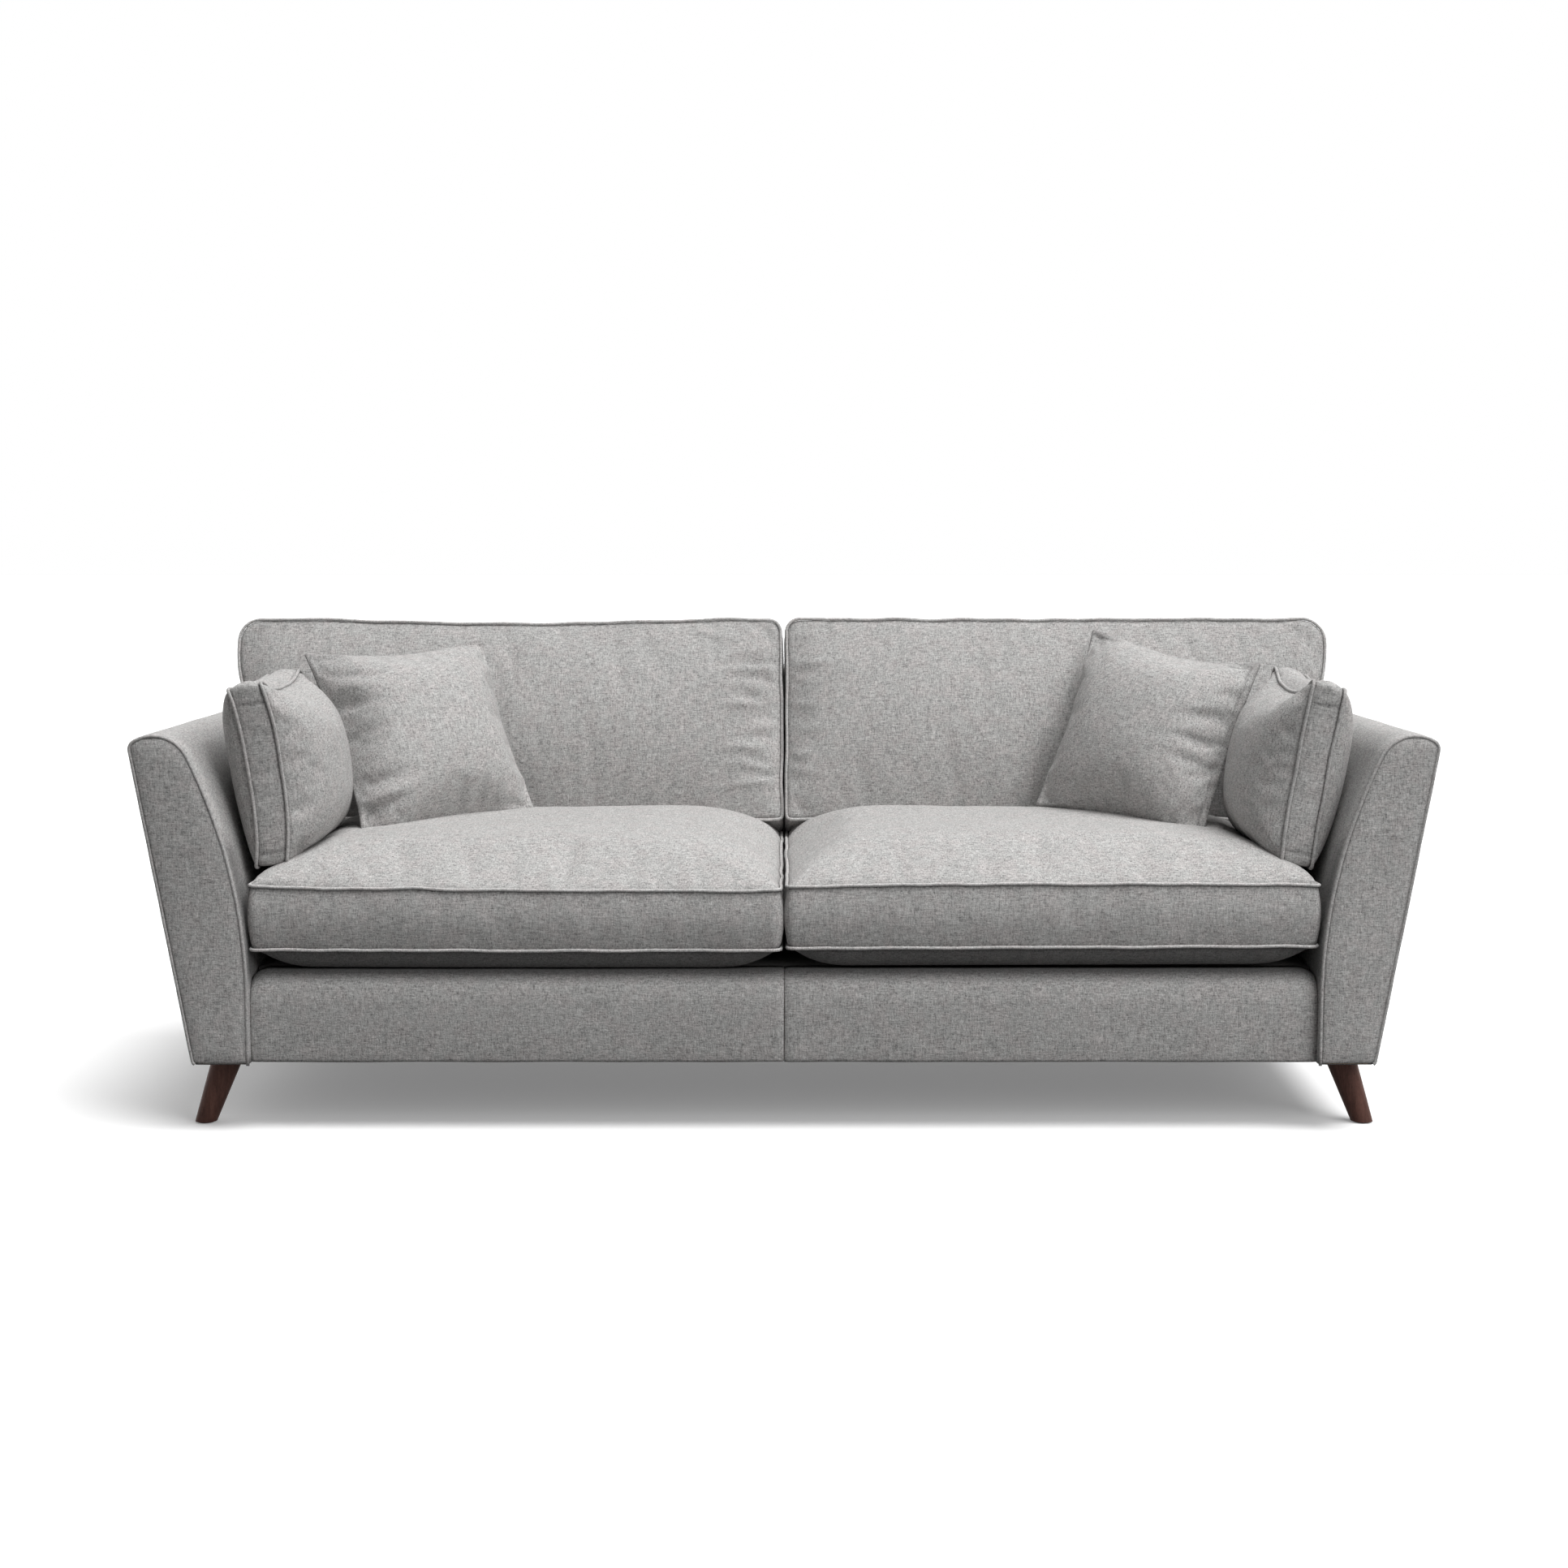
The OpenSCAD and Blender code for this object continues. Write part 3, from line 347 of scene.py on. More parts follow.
def cloth(n, base, pitch, rough):
    """Plain cloth of one colour with a fine weave."""
    grain = n.noise((1 / pitch,) * 3, 2.0, 0.6)
    patch = n.noise((24, 24, 24), 3.0, 0.5)
    shade = n.total((grain, 0.22), (patch, 0.18), start=0.80)
    n.colour(base, n.ramp(shade, [(0, 0.0), (1, 1.0)]))
    n.bump(grain, 0.35, 0.0005)
    n.surface(Roughness=rough)


def wood(n, light, dark, stretch, rough, shine=0.5):
    """Timber with grain along the axis whose stretch is smallest."""
    grain = n.noise(tuple(150 * s for s in stretch), 6.0, 0.62, 0.6)
    pores = n.noise(tuple(900 * s for s in stretch), 2.0, 0.7)
    bands = n.noise(tuple(38 * s for s in stretch), 3.0, 0.55, 1.4)
    mixed = n.ramp(n.total((grain, 0.55), (bands, 0.55)), [(0.34, 0.0), (0.74, 1.0)])
    n.colour(n.mix("MIX", mixed, dark, light), n.ramp(pores, [(0.30, 0.45), (0.46, 1.0)]), 0.75)
    n.link(n.ramp(grain, [(0.2, rough + 0.10), (0.8, rough - 0.06)]), n.shader.inputs["Roughness"])
    n.bump(n.total((grain, 1.0), (pores, 0.5)), 0.25, 0.0004)
    n.surface(Specular_IOR_Level=shine)


def metal(n, base, rough):
    scratch = n.noise((900, 900, 60), 3.0, 0.6)
    patch = n.noise((60, 60, 60), 2.0, 0.5)
    n.colour(base, n.ramp(patch, [(0.2, 0.78), (0.8, 1.0)]))
    n.link(n.ramp(scratch, [(0.2, rough - 0.08), (0.8, rough + 0.14)]), n.shader.inputs["Roughness"])
    n.bump(scratch, 0.15, 0.0002)
    n.surface(Metallic=1.0)


def foam(n, base):
    cells = n.add("ShaderNodeTexVoronoi", Scale=1.0)
    n.link(n.coords((700, 700, 700)), cells.inputs["Vector"])
    patch = n.noise((20, 20, 20), 2.0, 0.5)
    n.colour(base, n.ramp(patch, [(0.2, 0.86), (0.8, 1.0)]))
    n.bump(cells.outputs["Distance"], 0.5, 0.0008)
    n.surface(Roughness=0.95)


GREY = (0.400, 0.392, 0.386)
LOOKS = {
    "fabric": (linen, GREY, 1.22, 0.013),
    # piping: 1.20 times as light as the fabric, a painted highlight for piping that catches the light;
    # painted shade takes part or all of it back on the back, bolster and arm piping
    "piping": (linen, tuple(c * 1.20 for c in GREY), 1.0, 0.008),
    "leg_wood": (wood, (0.128, 0.060, 0.046), (0.044, 0.019, 0.015), (1, 1, 0.10), 0.50, 0.15),
    "timber": (wood, (0.62, 0.45, 0.27), (0.42, 0.27, 0.14), (0.12, 1, 1), 0.7),
    "steel": (metal, (0.55, 0.55, 0.56), 0.38),
    "glide": (cloth, (0.035, 0.035, 0.036), 0.0015, 0.6),
    "black_cloth": (cloth, (0.022, 0.022, 0.024), 0.0016, 0.95),
    "lining": (cloth, (0.11, 0.108, 0.105), 0.0012, 0.95),
    "foam": (foam, (0.72, 0.63, 0.38)),
}
MATERIALS = {name: bpy.data.materials.new(name) for name in LOOKS}
for name, (make, *values) in LOOKS.items():
    make(Nodes(MATERIALS[name]), *values)


def settle(obj, slot, *nodes, body="frame", fill=None):
    """Material of a piece, its body and the nodes it stands for; fill is not used."""
    obj.data.materials.clear()
    obj.data.materials.append(MATERIALS[slot])
    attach(obj, body)
    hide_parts(*nodes)


# ---------- piping ----------

def tube(path, closed, up, seed, sides=10, pucker=0.10):
    """Rings of slightly uneven piping along a path of points; up is a direction never parallel to it."""
    if closed:
        tangent = np.roll(path, -1, 0) - np.roll(path, 1, 0)
    else:
        tangent = np.vstack([path[1:], path[-1:]]) - np.vstack([path[:1], path[:-1]])
    tangent /= np.linalg.norm(tangent, axis=1)[:, None]
    side = np.cross(tangent, np.asarray(up, float))
    side /= np.linalg.norm(side, axis=1)[:, None]
    top = np.cross(side, tangent)
    radius = WELT_R * (1 + pucker * noise_at(path, 95.0, seed))
    angles = np.arange(sides)[:, None] * 2 * math.pi / sides
    return [p + r * (np.cos(angles) * a + np.sin(angles) * b)
            for p, r, a, b in zip(path, radius, side, top)]


# ---------- cushions ----------

def spaced(n, crowd):
    """n + 1 values from 0 to 1, closer together at both ends."""
    t = np.linspace(-1, 1, n + 1)
    t = (1 - crowd) * t + crowd * np.sin(t * math.pi / 2)
    return (t + 1) / 2


pads = {}


class Pad:
    """A cushion of two panels with a strip between them, in its own frame: x and y across, z through it;
    u and v are the shares of its width and height. radii are given by the signs of x and y."""

    def __init__(self, kind, side, rot, x_low, x_high, y_low, y_high, z_low, z_high, radii, cell=CELL):
        self.kind, self.side, self.body, self.rot = kind, side, f"{kind}_{side}", rot
        pads[self.body] = self
        width = float(np.mean(x_high(np.array([y_low, y_high])) - x_low(np.array([y_low, y_high]))))
        nu, nv = round(width / cell), round((y_high - y_low) / cell)
        self.nu, self.nv = nu, nv
        u, v = np.meshgrid(spaced(nu, 0.35), spaced(nv, 0.35))
        y = y_low + (y_high - y_low) * v
        x = x_low(y) + (x_high(y) - x_low(y)) * u
        for (sx, sy), r in radii.items():
            edge_x = x_high(y) if sx > 0 else x_low(y)
            edge_y = y_high if sy > 0 else y_low
            a, b = r - np.abs(edge_x - x), r - np.abs(edge_y - y)
            inside = (a > 0) & (b > 0)
            scale = np.where(inside, np.maximum(a, b) / np.maximum(np.hypot(a, b), 1e-9), 1)
            x = np.where(inside, edge_x - sx * (r - a * scale), x)
            y = np.where(inside, edge_y - sy * (r - b * scale), y)
        self.u, self.v, self.x, self.y = u, v, x, y
        self.z_low, self.z_high = z_low, z_high
        self.strip_rows = max(4, round((z_high - z_low) / cell))
        ring = [(0, i) for i in range(nu)] + [(j, nu) for j in range(nv)]
        ring += [(nv, i) for i in range(nu, 0, -1)] + [(j, 0) for j in range(nv, 0, -1)]
        self.ring = tuple(np.array(ring).T)

    def panel(self, z, height, amount, seed, warp):
        """Grid of a panel at z and the line of its seam, which wanders by amount. height is added inside
        the seam; warp gives offsets in x, y and z of the panel with its seam."""
        flat = columns(self.x[self.ring], self.y[self.ring], 0.0)
        wander = columns(*(noise_at(flat + shift, 14.0, seed) for shift in (0.0, 3.0, 6.0))) * amount
        seam = flat + np.array([0, 0, z]) + wander
        seam += columns(*warp(self.u[self.ring], self.v[self.ring]))
        grid = columns(self.x, self.y, z + height(self.u, self.v)) + columns(*warp(self.u, self.v))
        grid[self.ring] = seam
        return grid, seam

    def build(self, crown, swell, bulge, waves, seed, warp_top, warp_low):
        """crown, swell and bulge are functions of u and v giving how far the top, the bottom and the
        strip stand out."""
        ring_u, ring_v = self.u[self.ring], self.v[self.ring]
        top, edge_top = self.panel(self.z_high, crown, waves[0], seed, warp_top)
        bottom, edge_low = self.panel(self.z_low, lambda u, v: -swell(u, v), waves[1], seed + 5, warp_low)
        m = len(ring_u)
        count = top.shape[0] * top.shape[1]
        verts = [top.reshape(-1, 3), bottom.reshape(-1, 3)]
        grid = np.arange(count).reshape(top.shape[:2])
        faces = two_skins(grid)
        away = self.outwards(edge_top)
        rows = [grid[self.ring] + count]
        start = 2 * count
        for t in spaced(self.strip_rows, 0.55)[1:-1]:
            bulged = math.sin(math.pi * t) * columns(bulge(ring_u, ring_v))
            verts.append(edge_low * (1 - t) + edge_top * t + away * bulged)
            rows.append(np.arange(start, start + m))
            start += m
        rows.append(grid[self.ring])
        for low, high in zip(rows, rows[1:]):
            faces += [(low[i], low[(i + 1) % m], high[(i + 1) % m], high[i]) for i in range(m)]
        self.seams = (rows[0], rows[-1])
        self.bottom_index = grid.ravel() + count
        self.obj = make_object(f"{self.kind}_cover_{self.side}", np.vstack(verts), faces, self.rot)
        strip = np.zeros(start)
        strip[2 * count:] = 1
        self.obj.data.attributes.new("strip", "FLOAT", "POINT").data.foreach_set("value", strip)

    @staticmethod
    def outwards(p):
        """Level direction away from a closed line of points."""
        along = np.roll(p, -1, 0) - np.roll(p, 1, 0)
        away = columns(along[:, 1], -along[:, 0], 0.0)
        return away / np.maximum(np.linalg.norm(away, axis=1), 1e-9)[:, None]

    def in_sofa(self, p):
        """Points of the cushion's own frame in the frame of the sofa."""
        return p @ np.array(self.rot.to_3x3()).T + np.array(self.rot.translation)

    def seam_path(self, which, out=SEAM_IN):
        """Points of a seam, moved outwards to the middle of the piping."""
        p = points_of(self.obj)[self.seams[which]]
        return p + self.outwards(p) * out


def dome(height, p, q, peak_u=0.5, peak_v=0.5):
    """Crown that is steep at the seam and flat in the middle; the peak may lie off centre."""
    def shape(u, v):
        a = np.where(u < peak_u, (peak_u - u) / peak_u, (u - peak_u) / (1 - peak_u))
        b = np.where(v < peak_v, (peak_v - v) / peak_v, (v - peak_v) / (1 - peak_v))
        return height * np.clip(1 - a ** p[0], 0, 1) ** q[0] * np.clip(1 - b ** p[1], 0, 1) ** q[1]
    return shape


def rise(t, start, end):
    """0 before start, 1 after end and a soft step between them."""
    k = np.clip((t - start) / (end - start), 0, 1)
    return k * k * (3 - 2 * k)


def mirrored(u, side):
    """u on the right side of the sofa and 1 - u on the left."""
    return u if SIDES[side] > 0 else 1 - u


def strip_of(pad):
    """1 on the strip between the panels, 0 on the panels."""
    values = np.empty(len(pad.obj.data.vertices), np.float32)
    pad.obj.data.attributes["strip"].data.foreach_get("value", values)
    return values


SIM_FRAMES = 16
STRIP_SHARE = 0.25       # the strip round a cushion is stretched and moves less than the panels
STIFFNESS, BENDING, PRESSURE = 12.0, 0.4, 3.0
simulated = []


def inflate(pad, slack, cap, *held):
    """Queues a cushion for the cloth simulation; its seams and the points in held stay, the others move by
    cap at most."""
    obj = pad.obj
    group = obj.vertex_groups.new(name="pin")
    group.add([int(i) for i in np.concatenate([*pad.seams, *held])], 1.0, "REPLACE")
    mod = obj.modifiers.new("cloth", "CLOTH")
    s = mod.settings
    s.quality, s.mass, s.air_damping = 4, 0.2, 1.5
    s.tension_stiffness = s.compression_stiffness = STIFFNESS
    s.shear_stiffness = STIFFNESS / 3
    s.bending_stiffness = BENDING
    s.use_pressure = True
    s.uniform_pressure_force = PRESSURE
    s.shrink_min = -slack
    s.vertex_group_mass = "pin"
    s.effector_weights.gravity = 0
    mod.collision_settings.use_collision = False
    mod.point_cache.frame_start, mod.point_cache.frame_end = 1, SIM_FRAMES
    simulated.append((pad, cap))


def run_simulation():
    scene = bpy.context.scene
    results = [points_of(pad.obj) for pad, cap in simulated]
    scene.frame_start, scene.frame_end = 1, SIM_FRAMES
    for f in range(1, SIM_FRAMES + 1):
        scene.frame_set(f)
    depsgraph = bpy.context.evaluated_depsgraph_get()
    results = [points_of(pad.obj.evaluated_get(depsgraph)) for pad, cap in simulated]
    for (pad, cap), co in zip(simulated, results):
        obj = pad.obj
        obj.modifiers.clear()
        obj.vertex_groups.clear()
        rest = points_of(obj)
        move = co - rest
        kept = np.minimum(1, cap / np.maximum(np.linalg.norm(move, axis=1), 1e-9))
        kept *= np.where(strip_of(pad) > 0.5, STRIP_SHARE, 1)
        set_points(obj, rest + move * kept[:, None])
    scene.frame_set(1)


def seam_distance(pad):
    """Distance of every point of the cushion to the nearest seam line."""
    lines = np.vstack([pad.seam_path(0, 0.0), pad.seam_path(1, 0.0)])
    tree = KDTree(len(lines))
    for i, p in enumerate(lines):
        tree.insert(p, i)
    tree.balance()
    return np.array([tree.find(p)[2] for p in points_of(pad.obj)])


def groove(pad, depth, width=0.0055):
    """Draws the cloth in along the seams and paints shade there, most on the strip below the piping."""
    distance = np.maximum(seam_distance(pad) - 0.0015, 0)
    strip = strip_of(pad) > 0.2
    near = np.exp(-(distance / width) ** 2)
    push(pad.obj, -near * np.where(strip, depth, depth * 0.5))
    painted_shade(pad.obj, near ** 2 * np.where(strip, 0.9, 0.4))


def fill_core(pad, inset=0.006):
    """Foam block inside a cushion: the shape of its cover, moved in."""
    core = make_object(f"{pad.kind}_foam_{pad.side}", points_of(pad.obj) - normals_of(pad.obj) * inset,
                       [tuple(f.vertices) for f in pad.obj.data.polygons], pad.rot)
    settle(core, "foam", f"{pad.kind}_core_{pad.side}", body=pad.body, fill=0.95)


def cross_seam(pad, y, depth=0.0012):
    """Sewn line across the strip, at the height y of the cushion's own frame: drawn in, with painted shade
    in it.
    """
    near = np.exp(-((points_of(pad.obj)[:, 1] - y) / 0.0032) ** 2) * (strip_of(pad) > 0.5)
    near = near * (np.abs(normals_of(pad.obj)[:, 0]) > 0.7)
    push(pad.obj, -near * depth)
    painted_shade(pad.obj, near * 0.6)


def strip_ripples(pad, amount, seed):
    """Faint folds across the strip, from seam to seam."""
    flat = points_of(pad.obj) * np.array([1, 1, 0.15])
    push(pad.obj, noise_at(flat, 34.0, seed) * amount * (strip_of(pad) > 0.5))


def finish_cushion(pad, fill, depth, cored=False):
    """Seams, material and place in the assembly; depth is how far the seams are drawn in."""
    if cored:
        fill_core(pad)
    subdivide(pad.obj)
    groove(pad, depth)
    settle(pad.obj, "fabric", f"{pad.kind}_cushion_{pad.side}", body=pad.body, fill=fill)


def finish_piping(pad, seed, dim):
    """Both loops of piping of a cushion, with painted shade of strength dim, and more painted shade where
    cushions meet at x = 0.
    """
    loops = (tube(pad.seam_path(i), True, (0, 0, 1), seed + i) for i in (0, 1))
    welt = loft(f"{pad.kind}_welt_{pad.side}", *loops, closed=True, rot=pad.rot)
    painted_shade(welt, np.maximum(np.exp(-(pad.in_sofa(points_of(welt))[:, 0] / 0.0038) ** 2), dim))
    settle(welt, "piping", f"{pad.kind}_piping_{pad.side}", body=pad.body)


def piping_frame(node, rot):
    """Centre lines of the two loops of piping of a boxed cushion."""
    low, high = extent(node, rot)
    return low + PIPE_IN, high - PIPE_IN


SAG = {                  # shift of the upper and the lower front seam: inner end, middle, outer end
    "left": ((-0.004, -0.003, 0.003), (-0.003, -0.004, -0.002)),
    "right": ((0.003, 0.009, 0.005), (0.000, 0.002, 0.004)),
}
REAR_LIFT = 0.013        # height by which the rear edge of a seat cushion stands above its front edge
CORNER_FILL = 0.015      # extra height of the outer front corner


def seat_pad(side):
    s = SIDES[side]
    low, high = piping_frame(f"seat_piping_{side}", Matrix.Identity(4))
    solid_low, solid_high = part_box(f"seat_cushion_{side}")
    pad = Pad("seat", side, Matrix.Identity(4),
              lambda y: low[0] + SEAM_IN - 0.005 * (s < 0),
              lambda y: high[0] - SEAM_IN + 0.005 * (s > 0),
              low[1] + SEAM_IN, high[1] - SEAM_IN, low[2], high[2],
              {(s, -1): 0.010, (s, 1): 0.016, (-s, -1): 0.012, (-s, 1): 0.006})
    width, length = high[0] - low[0], high[1] - low[1]
    crown = solid_high.z - high[2]
    depth = low[2] - solid_low.z

    def across(values, u):
        """Parabola through the values at the inner end, the middle and the outer end."""
        t = mirrored(u, side)
        inner, middle, outer = values
        return inner * (1 - t) * (1 - 2 * t) + 4 * middle * t * (1 - t) + outer * t * (2 * t - 1)

    def warp_top(u, v):
        """The front edge sags; the rear edge is lifted, most in the middle of the sofa."""
        front = across(SAG[side][0], u) * (1 - rise(v, 0.0, 0.6))
        rear = REAR_LIFT * rise(v, 0.45, 1.0) * (0.4 + 0.6 * rise(1 - mirrored(u, side), 0.5, 1.0))
        return 0, 0, front + rear

    def warp_low(u, v):
        return 0, 0, across(SAG[side][1], u) * (1 - rise(v, 0.0, 0.3))

    def swell(u, v):
        """Underside: rounds down from the piping like a shallow boat and lies flat on the platform."""
        ends = np.clip(np.minimum(u, 1 - u) * width / 0.12, 0, 1)
        rim = np.clip(np.minimum(v, 1 - v) * length / 0.055, 0, 1)
        return (depth - 0.0015) * (1 - (1 - ends) ** 2.6) * (1 - (1 - rim) ** 2.6)

    full = dome(crown * 0.92, (4.2, 3.6), (0.55, 0.54), 0.5 - 0.12 * s, 0.55)

    def crowned(u, v):
        """The outer front corner is stuffed a little fuller than the others."""
        outer = mirrored(u, side)
        near = np.minimum((1 - outer) * width, v * length)
        share = (np.clip(2 * outer - 1, 0, 1) * np.clip(1 - 2 * v, 0, 1)) ** 3
        return full(u, v) + CORNER_FILL * share * np.sqrt(np.clip(near / 0.022, 0, 1))

    pad.build(crowned, swell, lambda u, v: 0.007, (0.0028, 0.0018), 1.0 + s, warp_top, warp_low)
    inflate(pad, 0.014, 0.020, pad.bottom_index)


BACK_DIP = {"left": 0.009, "right": 0.001}       # how far the top edge sinks in its middle
BACK_OUT = {"left": 0.003, "right": -0.006}      # how far the outer edge lies outside that of the solid


def back_pad(side):
    s = SIDES[side]
    rot = rotation(("X", 90 - RECLINE))
    low, high = piping_frame(f"back_piping_{side}", rot)
    crown = extent(f"back_cushion_{side}", rot)[1][2] - high[2]
    p = node_points(f"back_piping_{side}") @ np.array(rot.to_3x3())
    p[:, 0] *= s
    foot = p[np.abs(p[:, 1] - (low[1] + 0.03)) < 0.02][:, 0].max() - PIPE_IN
    top = p[:, 0].max() - PIPE_IN
    shoulder_y = high[1] - 0.068
    span = shoulder_y - low[1]

    def outer(y):
        t = np.clip((y - low[1]) / span, 0, 1.2)
        return foot + (top - foot) * (1 - np.clip(1 - t, 0, 1) ** 1.7) - SEAM_IN + BACK_OUT[side]

    inner = 0.005 + SEAM_IN
    if s > 0:
        x_low, x_high = (lambda y: inner), outer
    else:
        x_low, x_high = (lambda y: -outer(y)), (lambda y: -inner)
    pad = Pad("back", side, rot, x_low, x_high, low[1] + SEAM_IN, high[1] - SEAM_IN, low[2], high[2],
              {(s, 1): 0.046, (-s, 1): 0.027, (s, -1): 0.020, (-s, -1): 0.006})

    def dip(u, v):
        return BACK_DIP[side] * np.sin(math.pi * u) ** 2 * rise(v, 0.6, 1.0)

    def warp_top(u, v):
        return 0, -dip(u, v), 0

    def warp_low(u, v):
        """The lower inner corner hangs down a little."""
        hang = 0.016 * (1 - rise(v, 0.0, 0.3)) * rise(1 - mirrored(u, side), 0.6, 1.0)
        return 0, -dip(u, v) - hang, 0

    def strip(u, v):
        """The two back cushions press against each other in the middle of the sofa."""
        return 0.003 + 0.003 * (mirrored(u, side) < 0.001)

    pad.build(dome(crown, (3.0, 2.4), (0.6, 0.62), 0.5, 0.45),
              dome(0.004, (4, 4), (0.8, 0.8)), strip, (0.0030, 0.0014), 3.0 + s, warp_top, warp_low)
    inflate(pad, 0.008, 0.020, pad.bottom_index)


BOLSTER = {              # tilt, extra width of the strip at its top, rise of the two ears, dip between,
                         # bow towards the middle of the sofa, height taken off the inner crown
    "left": (7.8, 0.005, (0.006, 0.010), 0.016, 0.015, 0.011),
    "right": (9.4, 0.002, (0.012, 0.014), 0.022, 0.004, 0.014),
}


def bolster_pad(side):
    s = SIDES[side]
    tilt, room, ears, dip, bow, less = BOLSTER[side]
    cad = rotation(("Y", s * BOLSTER_TILT), ("Z", -s * 90), ("X", 90))
    low, high = piping_frame(f"bolster_piping_{side}", cad)
    crown = extent(f"bolster_cushion_{side}", cad)[1][2] - high[2]
    foot = cad @ Vector(((low[0] + high[0]) / 2, low[1], (low[2] + high[2]) / 2))
    turn = Matrix.Translation(foot) @ rotation(("Y", s * (tilt - BOLSTER_TILT)))
    rot = turn @ Matrix.Translation(-foot) @ cad
    pad = Pad("bolster", side, rot,
              lambda y: low[0] + SEAM_IN, lambda y: high[0] - SEAM_IN,
              low[1] + SEAM_IN, high[1] - SEAM_IN, low[2], high[2],
              dict.fromkeys(CORNERS, 0.012), 0.009)

    def ear(u, v):
        """Rise of the two upper corners: the front one, then the rear one."""
        t = mirrored(u, side)
        return (ears[0] * (1 - rise(t, 0.0, 0.22)) + ears[1] * rise(t, 0.78, 1.0)) * rise(v, 0.72, 1.0)

    def sunk(u, v):
        """The front lower end sinks on to the seat."""
        return 0.008 * (1 - rise(v, 0.0, 0.30)) * (1 - rise(mirrored(u, side), 0.0, 0.35))

    def bowed(v):
        return bow * (1 - np.abs(2 * v - 1) ** 3)

    def warp_top(u, v):
        """The top edge dips between the ears, the foot arches up and the ends curve in."""
        hollow = np.sin(math.pi * u) ** 0.9
        dy = ear(u, v) - dip * hollow * rise(v, 0.70, 1.0) + 0.004 * hollow * (1 - rise(v, 0.0, 0.25))
        dx = 0.005 * np.sin(math.pi * v) ** 2 * np.where(u < 0.5, 1, -1) * np.abs(2 * u - 1) ** 3
        return dx, dy - sunk(u, v), room * v + bowed(v)

    def warp_low(u, v):
        dip_low = 0.2 * dip * np.sin(math.pi * u) * rise(v, 0.70, 1.0)
        return 0, 0.4 * ear(u, v) - dip_low - sunk(u, v), bowed(v)

    def strip(u, v):
        """The strip arches over the top between the two seams."""
        return 0.002 + (0.007 + 0.009 * np.sin(math.pi * u) ** 0.8) * rise(v, 0.95, 1.0)

    pad.build(dome(crown * 0.97 - less, (2.8, 2.8), (0.62, 0.56), 0.5, 0.44),
              dome(0.054, (4.0, 2.6), (0.50, 0.56), 0.5, 0.64),
              strip, (0.0014, 0.0014), 5.0 + s, warp_top, warp_low)
    inflate(pad, 0.020, 0.016, pad.bottom_index)


SCATTER_HALF = 0.198     # half side at the corners
SCATTER_HOLLOW = {       # how far the top, bottom, left and right edges curve in
    "left": (0.022, 0.008, 0.021, 0.014),
    "right": (0.027, 0.010, 0.015, 0.012),
}
SCATTER_CORNERS = {      # shift of single corners in x and y, by the signs of x and y
    "left": {(-1, -1): (-0.003, -0.013), (1, 1): (0.000, -0.008)},
    "right": {(1, -1): (0.007, -0.020), (1, 1): (0.000, -0.026)},
}


def scatter_pad(side):
    centre, turn, lean, roll = SCATTER[side]
    rot = Matrix.Translation(centre) @ rotation(("Z", turn), ("X", 90 - lean), ("Z", roll))
    half = SCATTER_HALF
    top, bottom, left, right = SCATTER_HOLLOW[side]

    def hollow(t):
        return 1 - np.clip(np.abs(t) / half, 0, 1) ** 1.7

    pad = Pad("scatter", side, rot,
              lambda y: -half + left * hollow(y), lambda y: half - right * hollow(y),
              -half, half, -0.0012, 0.0012, dict.fromkeys(CORNERS, 0.005), 0.008)
    pad.strip_rows = 2
    t = 2 * pad.v - 1
    pad.y = pad.y - hollow(pad.x) * np.where(t > 0, top * t ** 2, -bottom * t ** 2)
    for (a, b), (dx, dy) in SCATTER_CORNERS[side].items():
        share = rise(a * (2 * pad.u - 1), -0.6, 1.0) * rise(b * t, -0.6, 1.0)
        pad.x, pad.y = pad.x + dx * share, pad.y + dy * share

    def forward(u, v):
        """The lower corner next to the bolster curls forward."""
        share = rise(SIDES[side] * (2 * u - 1), -0.2, 1.0) * rise(1 - 2 * v, -0.2, 1.0)
        return 0, 0, 0.030 * share

    pad.build(dome(0.080, (2.4, 2.2), (0.66, 0.66)), dome(0.060, (2.2, 2.2), (0.62, 0.62)),
              lambda u, v: 0.0, (0.001, 0.001), 7.0, forward, forward)
    inflate(pad, 0.030, 0.012)


for side in SIDES:
    seat_pad(side)
    back_pad(side)
    bolster_pad(side)
    scatter_pad(side)
run_simulation()
for side in SIDES:
    for kind, seed, dim in (("seat", 11.0, 0.0), ("back", 12.0, 0.08), ("bolster", 13.0, 0.20)):
        finish_piping(pads[f"{kind}_{side}"], seed, dim)
    seat, bolster = pads[f"seat_{side}"], pads[f"bolster_{side}"]
    finish_cushion(seat, 0.85, 0.0020, cored=True)
    finish_cushion(pads[f"back_{side}"], 0.7, 0.0008, cored=True)
    finish_cushion(bolster, 0.8, 0.0020)
    finish_cushion(pads[f"scatter_{side}"], 0.7, 0.0)
    strip_ripples(seat, 0.0009, 41.0 + SIDES[side])
    strip_ripples(bolster, 0.0010, 43.0 + SIDES[side])
    y0, y1 = float(bolster.y.min()), float(bolster.y.max())
    for share in (0.075, 0.92):
        cross_seam(bolster, y0 + (y1 - y0) * share)


def wrinkle(pad, places):
    """Soft ridges, or hollows with painted shade in them where depth is negative, in the front; none at
    the seams.
    """
    obj = pad.obj
    free = 1 - np.exp(-(seam_distance(pad) / 0.013) ** 2)
    for u, v, direction, length, width, depth in places:
        j, i = round(v * pad.nv), round(u * pad.nu)
        d = 1000 * (points_of(obj)[:, :2] - np.array([pad.x[j, i], pad.y[j, i]]))
        along, across = arc((0, 0), 1, direction, direction + 90, 1)
        reach = np.exp(-(d @ along / length) ** 2 - (d @ across / width) ** 2)
        moved = 0.001 * depth * np.clip(normals_of(obj)[:, 2], 0, 1) * free * reach
        push(obj, moved)
        painted_shade(obj, np.clip(-moved / 0.005, 0, 1.2) * 0.30)


